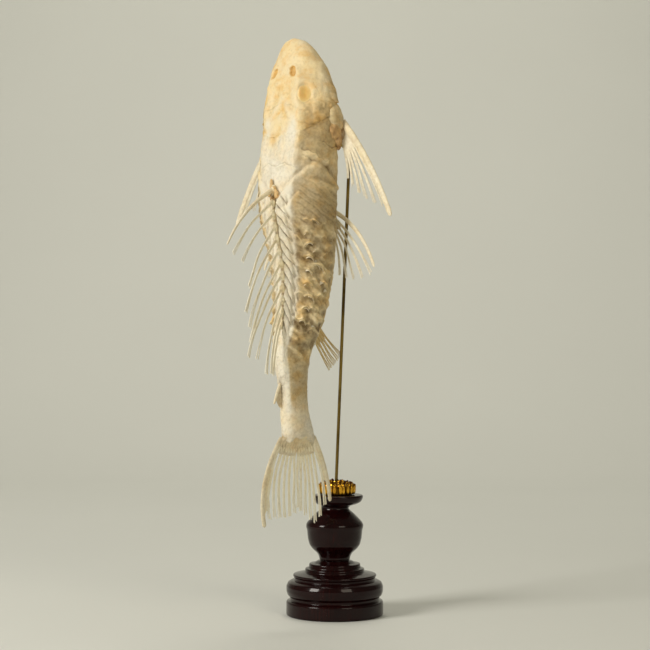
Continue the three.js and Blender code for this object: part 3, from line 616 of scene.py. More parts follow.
def mouth_pit(at, angle):
    """The sucker mouth's hollow on the underside, a shallow oval bowl."""
    across = np.sin(angle) * section(MOUTH_AT)[0]
    r = np.hypot((at - MOUTH_AT) / MOUTH_HALF_LONG, across / MOUTH_HALF_WIDE)
    return np.where(np.cos(angle) < 0, -MOUTH_DEPTH * (1 - step(r, 0.35, 1.0)), 0)


def round_end(share, reach, least=0.02):
    """The outline of a round end: a quarter of an oval over the reach, and 1 beyond it."""
    return np.sqrt(np.clip(1 - (1 - np.clip(share / reach, 0, 1)) ** 2, least, 1))


def skull_shell():
    """The skull as rings from the snout's tip to the slanting rear border, closed behind."""
    angle = np.linspace(-np.pi, np.pi, 280, endpoint=False)
    share = np.linspace(0, 1, 170)[:, None] ** 1.15
    at = share * rear_of_skull(angle)
    plain = on_skin(at, angle)
    lift, stain, soaked = skull_relief(at, angle, plain)
    lift = (lift + mouth_pit(at, angle)) * step(at, 0, 5)
    lift = lift - 0.3 * step(at - rear_of_skull(angle), -3, 0)
    axis = beside(at, 0, 0.4)
    points = axis + (on_skin(at, angle, lift) - axis) * round_end(at, 3.2, 0.004)[..., None]
    warm = cream(at, angle, plain) + soaked
    return closed(points, warm=warm, stain=np.clip(stain, 0, 1))


def dry_bone(name, pale, creamy, brown, rough=0.62, depth=0.0005, lines=0.0, oil=0.3, glow=0.15):
    """Degreased fish bone, chalky but faintly translucent: pale where it is bleached, creamy where
    fat stays in it (its mark warm, and past 1 soaked), brown by its mark for staining and shade,
    which holds dried tissue clinging in hollows and also painted shade and painted light that
    follow the relief. Fine pores and prickles roughen it, depth metres deep; fin rays are crossed
    by fine joint lines, so many millimetres apart. Oil is how much of it has gone amber in clouds,
    and glow how much light spreads in it."""
    made, tree, place = blank_material(name)
    warm = add(tree, "ShaderNodeAttribute", attribute_name="warm").outputs["Fac"]
    stain = add(tree, "ShaderNodeAttribute", attribute_name="stain").outputs["Fac"]
    cloud = add(tree, "ShaderNodeTexNoise", {"Vector": place, "Scale": scale_for(15), "Detail": 4})
    drift = add(tree, "ShaderNodeMapRange", {
        "Value": cloud, "From Min": 0.3, "From Max": 0.7, "To Min": -0.22, "To Max": 0.22})
    fat = add(tree, "ShaderNodeMath", {0: warm, 1: drift}, operation="ADD", use_clamp=True)
    bone = add(tree, "ShaderNodeMixRGB", {
        "Fac": fat, "Color1": linear(pale), "Color2": linear(creamy)})
    mottle = add(tree, "ShaderNodeTexNoise", {"Vector": place, "Scale": scale_for(9), "Detail": 3})
    rich = add(tree, "ShaderNodeMapRange", {
        "Value": mottle, "From Min": 0.46, "From Max": 0.68, "To Max": oil})
    soaked = add(tree, "ShaderNodeMath", {0: warm, 1: 1.0}, operation="SUBTRACT", use_clamp=True)
    rich = add(tree, "ShaderNodeMath", {0: rich, 1: soaked}, operation="ADD", use_clamp=True)
    oily = add(tree, "ShaderNodeMath", {0: rich, 1: fat}, operation="MULTIPLY")
    bone = add(tree, "ShaderNodeMixRGB", {"Fac": oily, "Color1": bone, "Color2": linear(AMBER)})
    speck = add(tree, "ShaderNodeTexNoise", {"Vector": place, "Scale": scale_for(2.2), "Detail": 5})
    dirt = add(tree, "ShaderNodeMapRange", {
        "Value": speck, "From Min": 0.4, "From Max": 0.75, "To Min": -0.08, "To Max": 0.16})
    # Dried tissue and random dirt, together with painted shade and painted light that follow the
    # relief.
    clung_and_shade = add(tree, "ShaderNodeMath", {0: stain, 1: dirt}, operation="ADD", use_clamp=True)
    colour = add(tree, "ShaderNodeMixRGB", {"Fac": clung_and_shade, "Color1": bone, "Color2": linear(brown)})
    pores = add(tree, "ShaderNodeTexNoise", {"Vector": place, "Scale": scale_for(0.8), "Detail": 4})
    height = pores
    if lines:
        reach = add(tree, "ShaderNodeAttribute", attribute_name="reach").outputs["Fac"]
        turns = add(tree, "ShaderNodeMath", {0: reach, 1: 2 * np.pi / lines}, operation="MULTIPLY")
        joint = add(tree, "ShaderNodeMath", {0: turns}, operation="COSINE")
        height = add(tree, "ShaderNodeMath", {0: joint, 1: 0.35, 2: pores},
                     operation="MULTIPLY_ADD")
    bump = add(tree, "ShaderNodeBump", {"Height": height, "Strength": 0.55, "Distance": depth})
    shader = add(tree, "ShaderNodeBsdfPrincipled", {
        "Base Color": colour, "Roughness": rough, "IOR": 1.5,
        "Subsurface Weight": glow, "Subsurface Radius": (0.0016, 0.0013, 0.0009),
        "Subsurface Scale": 1.0, "Normal": bump})
    add(tree, "ShaderNodeOutputMaterial", {"Surface": shader})
    return made


plate_bone = dry_bone("bleached_plate_bone", "#E9E2CF", "#EBD5A4", "#6C552E", oil=0.7)
make_piece("skull", [skull_shell()], plate_bone, ["head"], sharp=BONE_SMOOTH_TO)

# ------------------------------------------------------------------------ the eyes
# The eye itself is gone: what is left is the dried, amber, half clear skin over the socket, drawn
# tight and lying just below its bony rim.


def eye_shell(side):
    """A shallow dome over the socket: a disc in ring and spoke, sunk at its rim and with a dimple
    in the middle, closed by a flat underside."""
    r = np.concatenate((np.linspace(0.05, 1, 14), np.linspace(0.9, 0.1, 4)))[:, None]
    under = (np.arange(18) > 13)[:, None]
    spoke = np.linspace(0, 2 * np.pi, 36, endpoint=False)
    at = EYE_AT + EYE_HALF_LONG * r * np.cos(spoke)
    angle = side * (EYE_ANGLE + EYE_HALF_WIDE * r * np.sin(spoke) / girth(EYE_AT, EYE_ANGLE))
    lift = np.where(under, -2.6, -0.35 - 0.3 * r ** 2 - 0.35 * bell(r, 0.4))
    return closed(on_skin(at, angle, lift + brow(at, angle)), stain=0.95 * r ** 3.5)


def eye_membrane():
    """Dried eye skin: amber, waxy, a little see-through, wrinkled finely as parchment."""
    made, tree, place = blank_material("dried_eye_skin")
    edge = add(tree, "ShaderNodeAttribute", attribute_name="stain").outputs["Fac"]
    fold = add(tree, "ShaderNodeTexNoise", {"Vector": place, "Scale": scale_for(2.4), "Detail": 5})
    mix = add(tree, "ShaderNodeMixRGB", {
        "Fac": fold, "Color1": linear("#D2A04A"), "Color2": linear("#E8C680")})
    colour = add(tree, "ShaderNodeMixRGB", {
        "Fac": edge, "Color1": mix, "Color2": linear("#F3DBA6")})
    bump = add(tree, "ShaderNodeBump", {
        "Height": fold, "Strength": 0.5, "Distance": 0.0004})
    shader = add(tree, "ShaderNodeBsdfPrincipled", {
        "Base Color": colour, "Roughness": 0.42, "IOR": 1.45,
        "Subsurface Weight": 0.35, "Subsurface Radius": (0.003, 0.0015, 0.0006),
        "Subsurface Scale": 1.0, "Normal": bump})
    add(tree, "ShaderNodeOutputMaterial", {"Surface": shader})
    return made


eye_skin = eye_membrane()
for hand, side in (("left", -1), ("right", 1)):
    make_piece(f"eye_skin_{hand}", [eye_shell(side)], eye_skin, [f"eye_{hand}"])

# ------------------------------------------------------------------------ the sucker mouth
# The thick lip ring of the underside, dried to brown leather and covered in small papillae, with
# four short rows of fine bristle teeth inside it.
LIP_RADIUS = 8.2
LIP_HALF_THICK = 1.75
MOUTH_SLOPE = 0.26  # how far the mouth's plane tips up towards the snout
TEETH_ROWS = [  # across and along to each row's first and last tooth, and which way they bend
    (-5.2, -0.8, -2.6, -0.8, 1), (0.8, 5.2, -0.8, -2.6, 1),
    (-4.6, -0.7, 2.8, 1.2, -1), (0.7, 4.6, 1.2, 2.8, -1),
]
TEETH_A_ROW = 13
TOOTH_FOOT, TOOTH_HIGH = -3.2, 3.4


def mouth_frame():
    """The mouth's middle and its directions: across, towards the tail, and out from the throat."""
    belly = section(MOUTH_AT)[2]
    return (beside(MOUTH_AT, 0, -belly), heading(MOUTH_AT, 1, 0, 0),
            heading(MOUTH_AT, 0, MOUTH_SLOPE, 1), heading(MOUTH_AT, 0, -1, MOUTH_SLOPE))


def lip_shell():
    """A ring of oval section round the mouth, puckered by papillae."""
    centre, across, front, out = mouth_frame()
    around = np.linspace(0, 2 * np.pi, 96, endpoint=False)[:, None]
    v = np.linspace(0, 2 * np.pi, 20, endpoint=False)[None]
    bumps = 0.22 * np.cos(24 * around + 2.5 * np.sin(2 * v)) * np.cos(3 * v)
    r = LIP_RADIUS + (LIP_HALF_THICK + bumps) * np.cos(v)
    h = (LIP_HALF_THICK + bumps) * np.sin(v)
    points = (centre + (r * np.cos(around))[..., None] * across
              + (0.86 * r * np.sin(around))[..., None] * front + h[..., None] * out)
    # The ring is cut open at one place into a closed tube whose two ends lie face to face.
    return closed(np.concatenate((points, points[:1])), warm=0.5, stain=0.55)


def bristle_teeth():
    """Rows of curved bristles: tooth k of a row stands at an even step along it and bends inwards
    as the square of its height."""
    centre, across, front, out = mouth_frame()
    k = np.linspace(0, 1, TEETH_A_ROW)[:, None]
    u = np.linspace(0, 1, 6)[None]
    shells = []
    for x0, x1, y0, y1, bend in TEETH_ROWS:
        x = x0 + (x1 - x0) * k
        y = y0 + (y1 - y0) * k + bend * 0.9 * u ** 2
        h = TOOTH_FOOT + TOOTH_HIGH * u
        path = centre + x[..., None] * across + y[..., None] * front + h[..., None] * out
        shells.append(tubes(path, 0.2 * (1 - 0.6 * u), across, around=6, warm=0.9, stain=0.1))
    return shells


lip_leather = dry_bone("dried_lip_skin", "#B58F5E", "#A27745", "#6E4724", rough=0.55, depth=0.0006)
make_piece("lip_ring", [lip_shell()], lip_leather, ["mouth_lips"])
make_piece("teeth", bristle_teeth(), plate_bone)

# ------------------------------------------------------------------------ cheek and gill plates
# Two plates lie on each side of the skull: the cheek, which ends in a sharp corner over the gill
# opening, and behind the notch the swollen outer plate of the shoulder girdle.
CHEEK = dict(at=26, end=55, angle=1.6, half=0.34, taper=0.5, round_front=0.7, round_rear=0.08)
GIRDLE = dict(at=56, end=76, angle=1.74, half=0.42, taper=0.15, round_front=0.5, round_rear=0.45)


def laid_plate(side, at, end, angle, half, taper, round_front, round_rear, lift_at, seed):
    """A plate over the armour, as rings of its section: the outer half of a ring rises from its
    two edges to the lift there, the inner half lies on the armour; both ends narrow in a curve."""
    share = np.linspace(0, 1, 40)[:, None]
    turn = np.linspace(0, 2 * np.pi, 48, endpoint=False)[None]
    narrow = round_end(share, round_front) * round_end(1 - share, round_rear)
    place_at = at + (end - at) * share
    wide = half * narrow * (1 - taper * share ** 2)
    place_angle = side * (angle + taper * half * 0.8 * share ** 2 + wide * np.cos(turn))
    crown = np.clip(np.sin(turn), 0, 1) ** 1.6
    inner = on_skin(place_at, place_angle)
    lift = crown * (0.8 + lift_at(share) * (1 + 0.15 * grain(inner, 4, seed))) - 0.8
    rough = 0.45 * granules(inner, 2, seed) * share + 0.4 * grain(inner, 6, seed + 1)
    lift = lift + crown * rough
    # Painted shade between the granules, growing towards the plate's rear.
    stain = 0.06 + 0.32 * (1 - granules(inner, 2, seed)) * step(share, 0, 0.6)
    return closed(on_skin(place_at, place_angle, lift), warm=0.85, stain=stain)


for hand, side in (("left", -1), ("right", 1)):
    cheek = laid_plate(side, **CHEEK, lift_at=lambda s: 0.4 + 2.4 * s ** 1.5, seed=6)
    make_piece(f"cheek_plate_{hand}", [cheek], plate_bone, [f"cheek_{hand}"])
    swollen = laid_plate(side, **GIRDLE, seed=7,
                         lift_at=lambda s: 0.4 + 3.9 * np.sin(np.pi * (0.1 + 0.62 * s)) ** 1.2)
    make_piece(f"girdle_plate_{hand}", [swollen], plate_bone, [f"girdle_{hand}"])

# ------------------------------------------------------------------------ the body's armour
# Behind the skull the nape's big plates knit into one shield, streaked finely along the fish and
# crossed by wandering sutures. Then come rows of plates in thin dried skin: narrow slats beside
# the dorsal fin, and keeled plates down the flank, each ending in a hook over a sunken hollow.
SHOULDER_END_AT = 121
STALK_AT = 247
NAPE_UNDER = 1.6  # how far the nape tucks under the skull's rear edge
NAPE_GIVES_WAY = (104, 128)
PLATE_EDGES = [  # each a line across the flank, its height, and how far it falls away behind
    ([(133, 0.15), (129, 0.2), (122.7, 0.29), (119, 0.39), (114.5, 0.57), (108.9, 0.74),
      (104.6, 0.89), (101.8, 1.08), (103.3, 1.28), (110.8, 1.55), (117, 1.8)], 2.8, 13),
    ([(94, 0.8), (93.6, 0.98), (96.5, 1.2), (100, 1.5)], 1.0, 5),
    ([(116, 1.0), (119, 1.4), (121, 1.8)], 0.7, 4),
    ([(139, 0.12), (138, 0.3), (132, 0.5), (125, 0.66)], 1.2, 7),
]
NAPE_SUTURES = [  # each a line across the flank, its half width, and its zigzag
    ([(91.5, 0.75), (93.4, 0.98), (97.1, 1.21), (100.7, 1.45)], 0.55, 1.6),
    ([(97.1, 0.77), (99.7, 0.95), (101.2, 1.1)], 0.5, 1.0),
    ([(86, 1.3), (90, 1.5), (88, 1.8)], 0.6, 1.2),
    ([(104, 0.05), (102, 0.3), (106, 0.55)], 0.4, 0.8),
]
NAPE_PAINTED_SHADOW = (107.8, 1.43, 4.5, 6)  # a painted shadow under a plate edge: its place, angle, half sizes
BELLY_ANGLE = 1.9  # where the flank turns under to the belly
SLAT_START_AT, SLAT_END_AT = 121, 244
SLAT_PITCH = 9.7
SLAT_SLANT = 42  # millimetres towards the tail for each radian round the flank
RIB_PITCH = 5.6
RIB_SLANT = 19
FOLD_SLANT = 17
LAPPED_SLANT, LAPPED_PITCH, LAPPED_ARC = 14, 11, 0.27  # of the big plates under the hooks
LAPPED_STAGGER = 0.37  # the share of the pitch by which a row is ahead of the one above
HOOK_ROWS = [  # each row's angle, its first hook's place, their pitch and their size
    (0.61, 153, 10.4, 0.5), (0.89, 147.3, 10.1, 1.0), (1.14, 151.6, 11.3, 1.0),
    (1.42, 150, 11.8, 0.75), (1.75, 146, 12.0, 0.5),
]
HOOKS_A_ROW = 10
HOOK_SEED = 90
HOOK_HOLLOW = 3.4  # radius


def raised_edge(at, angle, route, height, fall):
    """A plate's front edge over the one before it: nothing ahead of the line, a sudden rise on
    it, and a slow fall behind."""
    behind, within = along_route(at, angle, route)
    return height * within * step(behind, -1, 4.5) * np.exp(-np.clip(behind, 0, 99) / fall)


def painted_edge_shade_and_light(at, angle, route, reach):
    """Painted shade in front of such an edge, and painted light on its crest."""
    behind, within = along_route(at, angle, route)
    ahead = step(-behind, -0.8, 0.3) * (1 - step(-behind, 0.3, reach))
    return within * (0.2 * ahead - 0.24 * bell(behind - 2.6, 3.2))


def nape_relief(at, angle, points):
    """Lift of the nape's own marks, streaks, sutures and light unevenness, and how stained and
    shaded it is: dark sutures, painted shade in the streaks' troughs, painted light on the raised
    lip beside each suture, a painted shadow under a plate edge, and random tone.
    """
    flat_roof = 1 - step(np.abs(angle), 0.6, 0.9)
    streak = streaks(at / 11, angle * MM_PER_RADIAN / 1.3, 8)
    folded = streaks((at + 14 * angle) / 4, (angle * MM_PER_RADIAN - 0.5 * at) / 12, 38)
    lift = 0.4 * flat_roof * streak + 0.8 * grain(points, 10, 9) + 0.6 * grain(points, 4.5, 17)
    lift += 0.9 * folded * step(at, 88, 104)
    # Painted shade in the troughs of the streaks on the flat roof.
    stain = 0.16 * flat_roof * np.clip(-streak, 0, 1)
    for route, half, zigzag in NAPE_SUTURES:
        near = suture(at, angle, route, half, zigzag)
        pale = suture(at - 1.3, angle, route, half, zigzag)
        lift += 0.4 * pale - 0.45 * near
        # The suture's own dark line, and painted light on the raised lip beside it.
        stain += 0.24 * near - 0.15 * pale
    # A painted shadow under a plate edge; the shape has no hollow there.
    stain += 0.6 * bell(away(at, np.abs(angle), *NAPE_PAINTED_SHADOW), 1)
    return lift, stain + 0.12 * grain(points, 5, 18) * step(np.abs(angle), 0.5, 0.8)


def hook_chance(seed):
    """How each hook of a row strays: along, across, in size and in tilt, on either flank."""
    chance = np.random.default_rng(seed)
    return (chance.normal(0, 1.3, (2, HOOKS_A_ROW)), chance.normal(0, 0.045, (2, HOOKS_A_ROW)),
            chance.uniform(0.4, 1.35, (2, HOOKS_A_ROW)), chance.normal(0.25, 0.4, (2, HOOKS_A_ROW)))


def hook_row(at, angle, row, seed):
    """Lift and painted shading of one row of hooks. Each point is measured from its nearest hook, x
    across and y towards the tail: a keel climbs towards the hook, and a raised arc stands round the
    head side of a soft hollow behind it. Painted shade fills the hollow and spreads further than
    it, and the arc and the keel are painted lighter."""
    row_angle, first, pitch, size = row
    along, across, strength, tilt = hook_chance(seed)
    k = np.clip(np.round((at - first) / pitch), 0, HOOKS_A_ROW - 1).astype(int)
    flank = (angle < 0).astype(int)
    x = (np.abs(angle) - row_angle - across[flank, k]) * girth(at, row_angle)
    y = at - (first + pitch * k + along[flank, k]) - tilt[flank, k] * x
    power = size * strength[flank, k] * (1 - step(at, 234, 244))
    r = np.hypot(x / HOOK_HOLLOW, (y - 2.8) / HOOK_HOLLOW)
    keel = bell(x, 1.6) * between(y, -4.6, -0.6, -0.4, 0.9)
    arc = bell(r - 1.0, 0.22) * step(2.4 - y, 0, 2.2)
    hollow = bell(r, 0.75)
    lift = power * (0.9 * keel + 1.1 * arc - 0.7 * hollow)
    # Painted shade in and round the hollow, painted light on the arc and the keel.
    return lift, power * (0.1 * hollow + 0.1 * bell(r, 1.7) - 0.4 * arc - 0.2 * keel)


def slats(at, angle, points):
    """Lift of the slats and their painted shading: shingles slanting back from the fin's beads,
    each climbing towards its rear edge and dropping there, out to pointed ends, with painted shadow
    in the grooves and in the dip beyond their ends, and painted light on the left side's slats,
    which face the key light."""
    turn = np.abs(angle)
    share = (at - SLAT_START_AT - SLAT_SLANT * (turn - 0.05)) / SLAT_PITCH
    share = share + 0.06 * grain(points, 7, 24)
    u = share - np.floor(share)
    end = 0.29 + 0.13 * u + 0.02 * grain(points, 6, 25)
    within = between(turn, 0.04, 0.09, end, end + 0.05)
    within = within * between(at, SLAT_START_AT + 3, 134, SLAT_END_AT - 12, SLAT_END_AT)
    within = within * np.where(angle < 0, 0.5, 1)
    # Painted shadow in the grooves between the slats.
    groove = step(u, 0.8, 0.92) + (1 - step(u, 0.0, 0.16))
    lift = within * (0.2 + 2.3 * u ** 0.8 * (1 - step(u, 0.8, 0.97)))
    # A dip past the slats' ends, painted darker as shade.
    beyond = bell(turn - end - 0.1, 0.08) * between(at, 138, 150, 225, 240)
    # Painted light on the left side's slats, which face the key light, and a touch darker on the
    # right.
    shade = np.where(angle < 0, -0.35, 0.02)
    return lift - 0.8 * beyond, within * (0.8 * groove + shade) + 0.25 * beyond


def trunk_relief(at, angle, points):
    """Lift of the trunk's own marks, and how they are darkened: slats, hooks, ribs and lapped
    plates, crumpled where dried skin spans the plates and grained like sand on the belly. The
    darkening is
    nearly all painted: shade in the rib grooves, in blotches, in the crumple's troughs and beside
    the slats, and light on the crumple's crests."""
    turn = np.abs(angle)
    belly = step(turn, BELLY_ANGLE, 2.3)
    lift, stain = slats(at, angle, points)
    flank = step(turn, 0.45, 0.6) * (1 - belly)
    for seed, row in enumerate(HOOK_ROWS):
        hook_lift, hook_stain = hook_row(at, angle, row, HOOK_SEED + seed)
        lift, stain = lift + hook_lift, stain + hook_stain
    rib = (at - RIB_SLANT * turn) / RIB_PITCH + 0.12 * grain(points, 6, 26)
    rib = rib - np.floor(rib)
    ribbed = between(turn, 0.6, 0.75, BELLY_ANGLE, 2.1) * (1 - step(at, 144, 158))
    lift += 1.9 * ribbed * rib * (1 - step(rib, 0.7, 1.0))
    # Painted shade in the grooves between the ribs.
    stain += 0.17 * ribbed * (step(rib, 0.7, 0.9) + 1 - step(rib, 0, 0.15))
    lapped = (at - LAPPED_SLANT * turn) / LAPPED_PITCH
    lapped = lapped + np.floor(turn / LAPPED_ARC) * LAPPED_STAGGER
    lapped = lapped - np.floor(lapped)
    lift += flank * (1 - ribbed) * 0.5 * lapped ** 2 * (1 - step(lapped, 0.9, 1.0))
    rough = step(at, 140, 160)
    folded = streaks((at - FOLD_SLANT * turn) / 2.8, (turn * MM_PER_RADIAN + 0.5 * at) / 9, 28)
    crumple = 0.6 * grain(points, 6.5, 21) + rough * (1.7 * folded + 0.5 * grain(points, 3, 27))
    lift += flank * crumple + belly * 0.3 * granules(points, 2.4, 22)
    # Painted shade in blotches, in the crumple's troughs and beside the slats; painted light on the
    # crumple's crests.
    sunk = step(grain(points, 8, 29), 0.1, 0.7) * rough
    beside_slats = bell(turn - 0.6, 0.13) * step(grain(points, 5, 37), -0.3, 0.4)
    stain += flank * rough * (0.1 * sunk - 0.2 * np.clip(crumple, -1, 1) + 0.22 * beside_slats)
    ends = 1 - step(at, STALK_AT - 9, STALK_AT)
    fork_lift, fork_stain = fork_relief(at, angle, points)
    return lift * ends + fork_lift, stain * ends + fork_stain


def fork_relief(at, angle, points):
    """Lift and darkening where the trunk runs out into the stalk: folded skin, and over it loose
    flakes in bands across the flank, the raised flakes painted pale and the gaps between them
    painted in shade."""
    turn = np.abs(angle)
    folded = streaks((at - FOLD_SLANT * turn) / 3.6, (turn * MM_PER_RADIAN + 0.5 * at) / 10, 32)
    folded = folded * step(turn, 0.4, 0.6) * (1 - step(at, 254, 280))
    flake = streaks((at - 9 * turn) / 2.7, angle * 2.6, 34)
    loose = between(at, 212, 224, 250, 264) * between(turn, 0.36, 0.5, BELLY_ANGLE, 2.2)
    lift = (folded + 0.3 * grain(points, 8, 35)) * step(at, STALK_AT - 9, STALK_AT)
    lift = lift + 0.8 * loose * step(-flake, 0.0, 0.5)
    # Painted light on the raised flakes, painted shade in the gaps between them.
    return lift, loose * (0.26 * step(flake, 0.0, 0.4) - 0.36 * step(-flake, 0.1, 0.4))


def armour(at, angle):
    """Points of the body's armour with how warm and how stained they are: roof, edges, and the
    nape's marks giving way to the trunk's. Below the crease the flank is tan, partly its own colour
    and partly painted shade, which reaches higher on the right side, turned from the key light."""
    at, angle = np.broadcast_arrays(at, angle)
    plain = on_skin(at, angle)
    moved_at, moved_angle = warped(at, angle, plain, 6.5, 1.0)
    turn = np.abs(moved_angle)
    share = step(moved_at, *NAPE_GIVES_WAY)
    nape_lift, nape_stain = nape_relief(moved_at, moved_angle, plain)
    trunk_lift, trunk_stain = trunk_relief(moved_at, moved_angle, plain)
    lift = roof(moved_at, moved_angle) + (1 - share) * nape_lift + share * trunk_lift
    stain = 0.06 + (1 - share) * nape_stain + share * trunk_stain
    for route, height, fall in PLATE_EDGES:
        lift = lift + raised_edge(moved_at, moved_angle, route, height, fall)
        stain = stain + painted_edge_shade_and_light(moved_at, moved_angle, route, 5)
    # Tan below the crease: the flank's own colour together with painted shade, reaching higher on
    # the right, which is turned from the key light.
    tan_and_shade_from = np.where(angle < 0, 0.72, 0.54) - 0.1 * share
    tan_and_shade = 0.32 + share * (0.18 - 0.24 * bell(at - 206, 28) + 0.08 * grain(plain, 14, 33))
    stain = stain + tan_and_shade * between(turn, tan_and_shade_from, tan_and_shade_from + 0.14, BELLY_ANGLE, 2.4)
    stain = stain + painted_shade_behind_cheek(moved_at, moved_angle)
    lift = lift + 0.14 * grain(plain, 2, 10)
    flank = between(turn, 0.48, 0.66, 2.0, 2.5)
    warm = cream(at, angle, plain) * (1 - share) + (0.12 + 0.8 * flank) * share
    warm = warm + 0.12 * grain(plain, 9, 30)
    return at, angle, lift, warm, np.clip(stain, 0, 0.95)


def nape_shell():
    """Rings from under the skull's rear edge to the trunk."""
    angle = np.linspace(-np.pi, np.pi, 300, endpoint=False)
    start = rear_of_skull(angle) - NAPE_UNDER
    at = start + (SHOULDER_END_AT - start) * np.linspace(0, 1, 110)[:, None]
    at, angle, lift, warm, stain = armour(at, angle)
    lift = lift - 0.35 * (1 - step(at - start, NAPE_UNDER - 0.4, NAPE_UNDER + 1.5))
    return closed(on_skin(at, angle, lift), warm=warm, stain=stain)


def trunk_shell():
    """The trunk's rings, from the nape to the stalk."""
    angle = np.linspace(-np.pi, np.pi, 330, endpoint=False)
    at = np.linspace(SHOULDER_END_AT - 0.1, STALK_AT, 236)[:, None]
    at, angle, lift, warm, stain = armour(at, angle)
    return closed(on_skin(at, angle, lift), warm=warm, stain=stain)


def hook_flakes(row, seed):
    """The free rear ends of a row's keeled plates: thin curved flakes, notched behind, that stand
    out over the hollows. a runs from the flake's root to its edge, b from -1 to 1 across. Their
    undersides are painted in shade, and their outer faces are painted lighter towards the edge."""
    row_angle, first, pitch, size = row
    along, across, strength, tilt = hook_chance(seed)
    flank = np.repeat([1, -1], HOOKS_A_ROW)[:, None, None]
    k = np.arange(HOOKS_A_ROW)
    place = (first + pitch * k + along).reshape(-1, 1, 1)
    middle = (row_angle + across).reshape(-1, 1, 1)
    big = (size * strength).reshape(-1, 1, 1) * (1 - step(place, 230, 242))
    a = np.linspace(0, 1, 9)[None, :, None]
    b = np.linspace(-1, 1, 11)[None, None, :]
    x = (0.8 + 2.1 * np.sqrt(big) * a ** 0.5) * b
    y = -3.4 + (3.8 + 2.2 * np.abs(b) ** 1.5) * a * np.sqrt(big) + tilt.reshape(-1, 1, 1) * x
    lift = -0.5 + (1.4 * a ** 1.4 - 0.6 * a * b ** 2) * big + 0.3 * a ** 6
    at, angle = place + y, flank * (middle + x / girth(place, middle))
    outer = on_skin(at, angle, lift + 0.18 * grain(on_skin(at, angle), 1.5, seed))
    inner = on_skin(at, angle, lift - 0.45)
    rings = np.concatenate((outer, inner[:, :, ::-1]), axis=2)
    # Painted light towards each flake's free edge, painted shade on its underside.
    rim = np.broadcast_to(0.3 - 0.3 * a ** 2, lift.shape)
    stain = np.concatenate((rim, np.full_like(rim, 0.4)), axis=2)
    return closed(rings, "strip", warm=0.3, stain=stain)


make_piece("nape_shield", [nape_shell()], plate_bone, ["shoulder"],
           sharp=BONE_SMOOTH_TO)
make_piece("trunk_plates", [trunk_shell()], plate_bone, ["trunk"],
           sharp=BONE_SMOOTH_TO)
make_piece("flank_hooks", [hook_flakes(row, HOOK_SEED + i) for i, row in enumerate(HOOK_ROWS)],
           plate_bone)

# ------------------------------------------------------------------------ the tail stalk
# Small thin scale plates, close and nearly flush, so that the stalk looks smooth from afar.
SECTIONS_END_AT = SECTIONS[-1, 0]
ADIPOSE_AT = 278
TAIL_FIN_AT = 320
STALK_END_AT = 323
SCALE_PITCH = 6.2
SCALE_ARC = 0.42


def scale_pattern(at, angle):
    """Lapped scales in staggered rows: each one's height climbs to its rear edge, which is curved
    back in the middle. Gives the share of the way along its scale, 0 just behind an edge."""
    row = angle / SCALE_ARC
    across = 2 * (row - np.floor(row)) - 1
    along = at / SCALE_PITCH + 0.5 * (np.floor(row) % 2) + 0.3 * across ** 2
    return along - np.floor(along), across


def stalk_shell():
    """The stalk's rings, with lapped scales raised a little at their rear edges; its own rear
    edge thins out over the tail fan. Below the crease of the roof it is tan and warmer, partly its
    own colour and partly painted shade, which near the trunk reaches higher on the right, turned
    from the key light; painted shade lies just behind each scale's edge, and brown tissue clings
    at the adipose fin and at the root of the tail."""
    angle = np.linspace(-np.pi, np.pi, 200, endpoint=False)
    end = STALK_END_AT + 2.2 * np.cos(2 * angle) + 1.2 * np.cos(9 * angle)
    at = STALK_AT + (end - STALK_AT) * np.linspace(0, 1, 200)[:, None]
    plain = on_skin(np.minimum(at, SECTIONS_END_AT), angle)
    share, across = scale_pattern(*warped(at, angle, plain, 5, 0.4))
    begun = step(at, STALK_AT, STALK_AT + 11)
    moved_at, moved_angle = warped(at, angle, plain, 6.5, 1.0)
    fork_lift, fork_stain = fork_relief(moved_at, moved_angle, plain)
    lift = begun * (0.32 * share ** 1.5 - 0.12 * across ** 4 + 0.16 * grain(plain, 3, 31) - 0.1)
    lift += roof(moved_at, moved_angle) + fork_lift - 0.5 * step(at, end - 5, end)
    tissue = bell(away(at, angle, ADIPOSE_AT + 3, 0.0, 9, 3.2), 1)
    tissue = tissue + 0.6 * bell(at - TAIL_FIN_AT - 1, 4) * np.abs(np.cos(angle)) ** 3
    # Painted shade just behind each scale's edge; the tissue is the fish's own brown.
    stain = begun * (0.1 * (1 - step(share, 0.02, 0.2)) + 0.08 * grain(plain, 6, 33)) + 0.5 * tissue
    turn = np.abs(angle)
    crease = np.interp(at, (STALK_AT, 267, 291), (0.51, 0.78, 0.88))
    crease = crease + np.where(angle < 0, 0.18, 0) * (1 - step(at, STALK_AT, 267))
    # Tan and painted shade below the crease, warmer there too.
    shaded = step(turn, crease - 0.08, crease + 0.08) * (1 - 0.85 * step(at, 284, 304))
    shaded = shaded * (1 - step(turn, BELLY_ANGLE, 2.4) * (1 - step(at, STALK_AT, 290)))
    stain += 0.06 + (0.46 - 0.08 * begun) * shaded + fork_stain
    warm = 0.12 + 0.78 * shaded + 0.12 * grain(plain, 9, 30)
    points = on_skin(np.minimum(at, SECTIONS_END_AT), angle, lift) + drop(at)
    return closed(points, warm=warm, stain=np.clip(stain, 0, 1))


def drop(at):
    """Carries what lies beyond the end of the sections straight on towards the tail."""
    beyond = np.clip(at - SECTIONS_END_AT, 0, None)
    return np.stack((0 * beyond, 0 * beyond, -beyond), axis=-1)


make_piece("stalk_scales", [stalk_shell()], plate_bone, ["tail_stalk"],
           sharp=BONE_SMOOTH_TO)

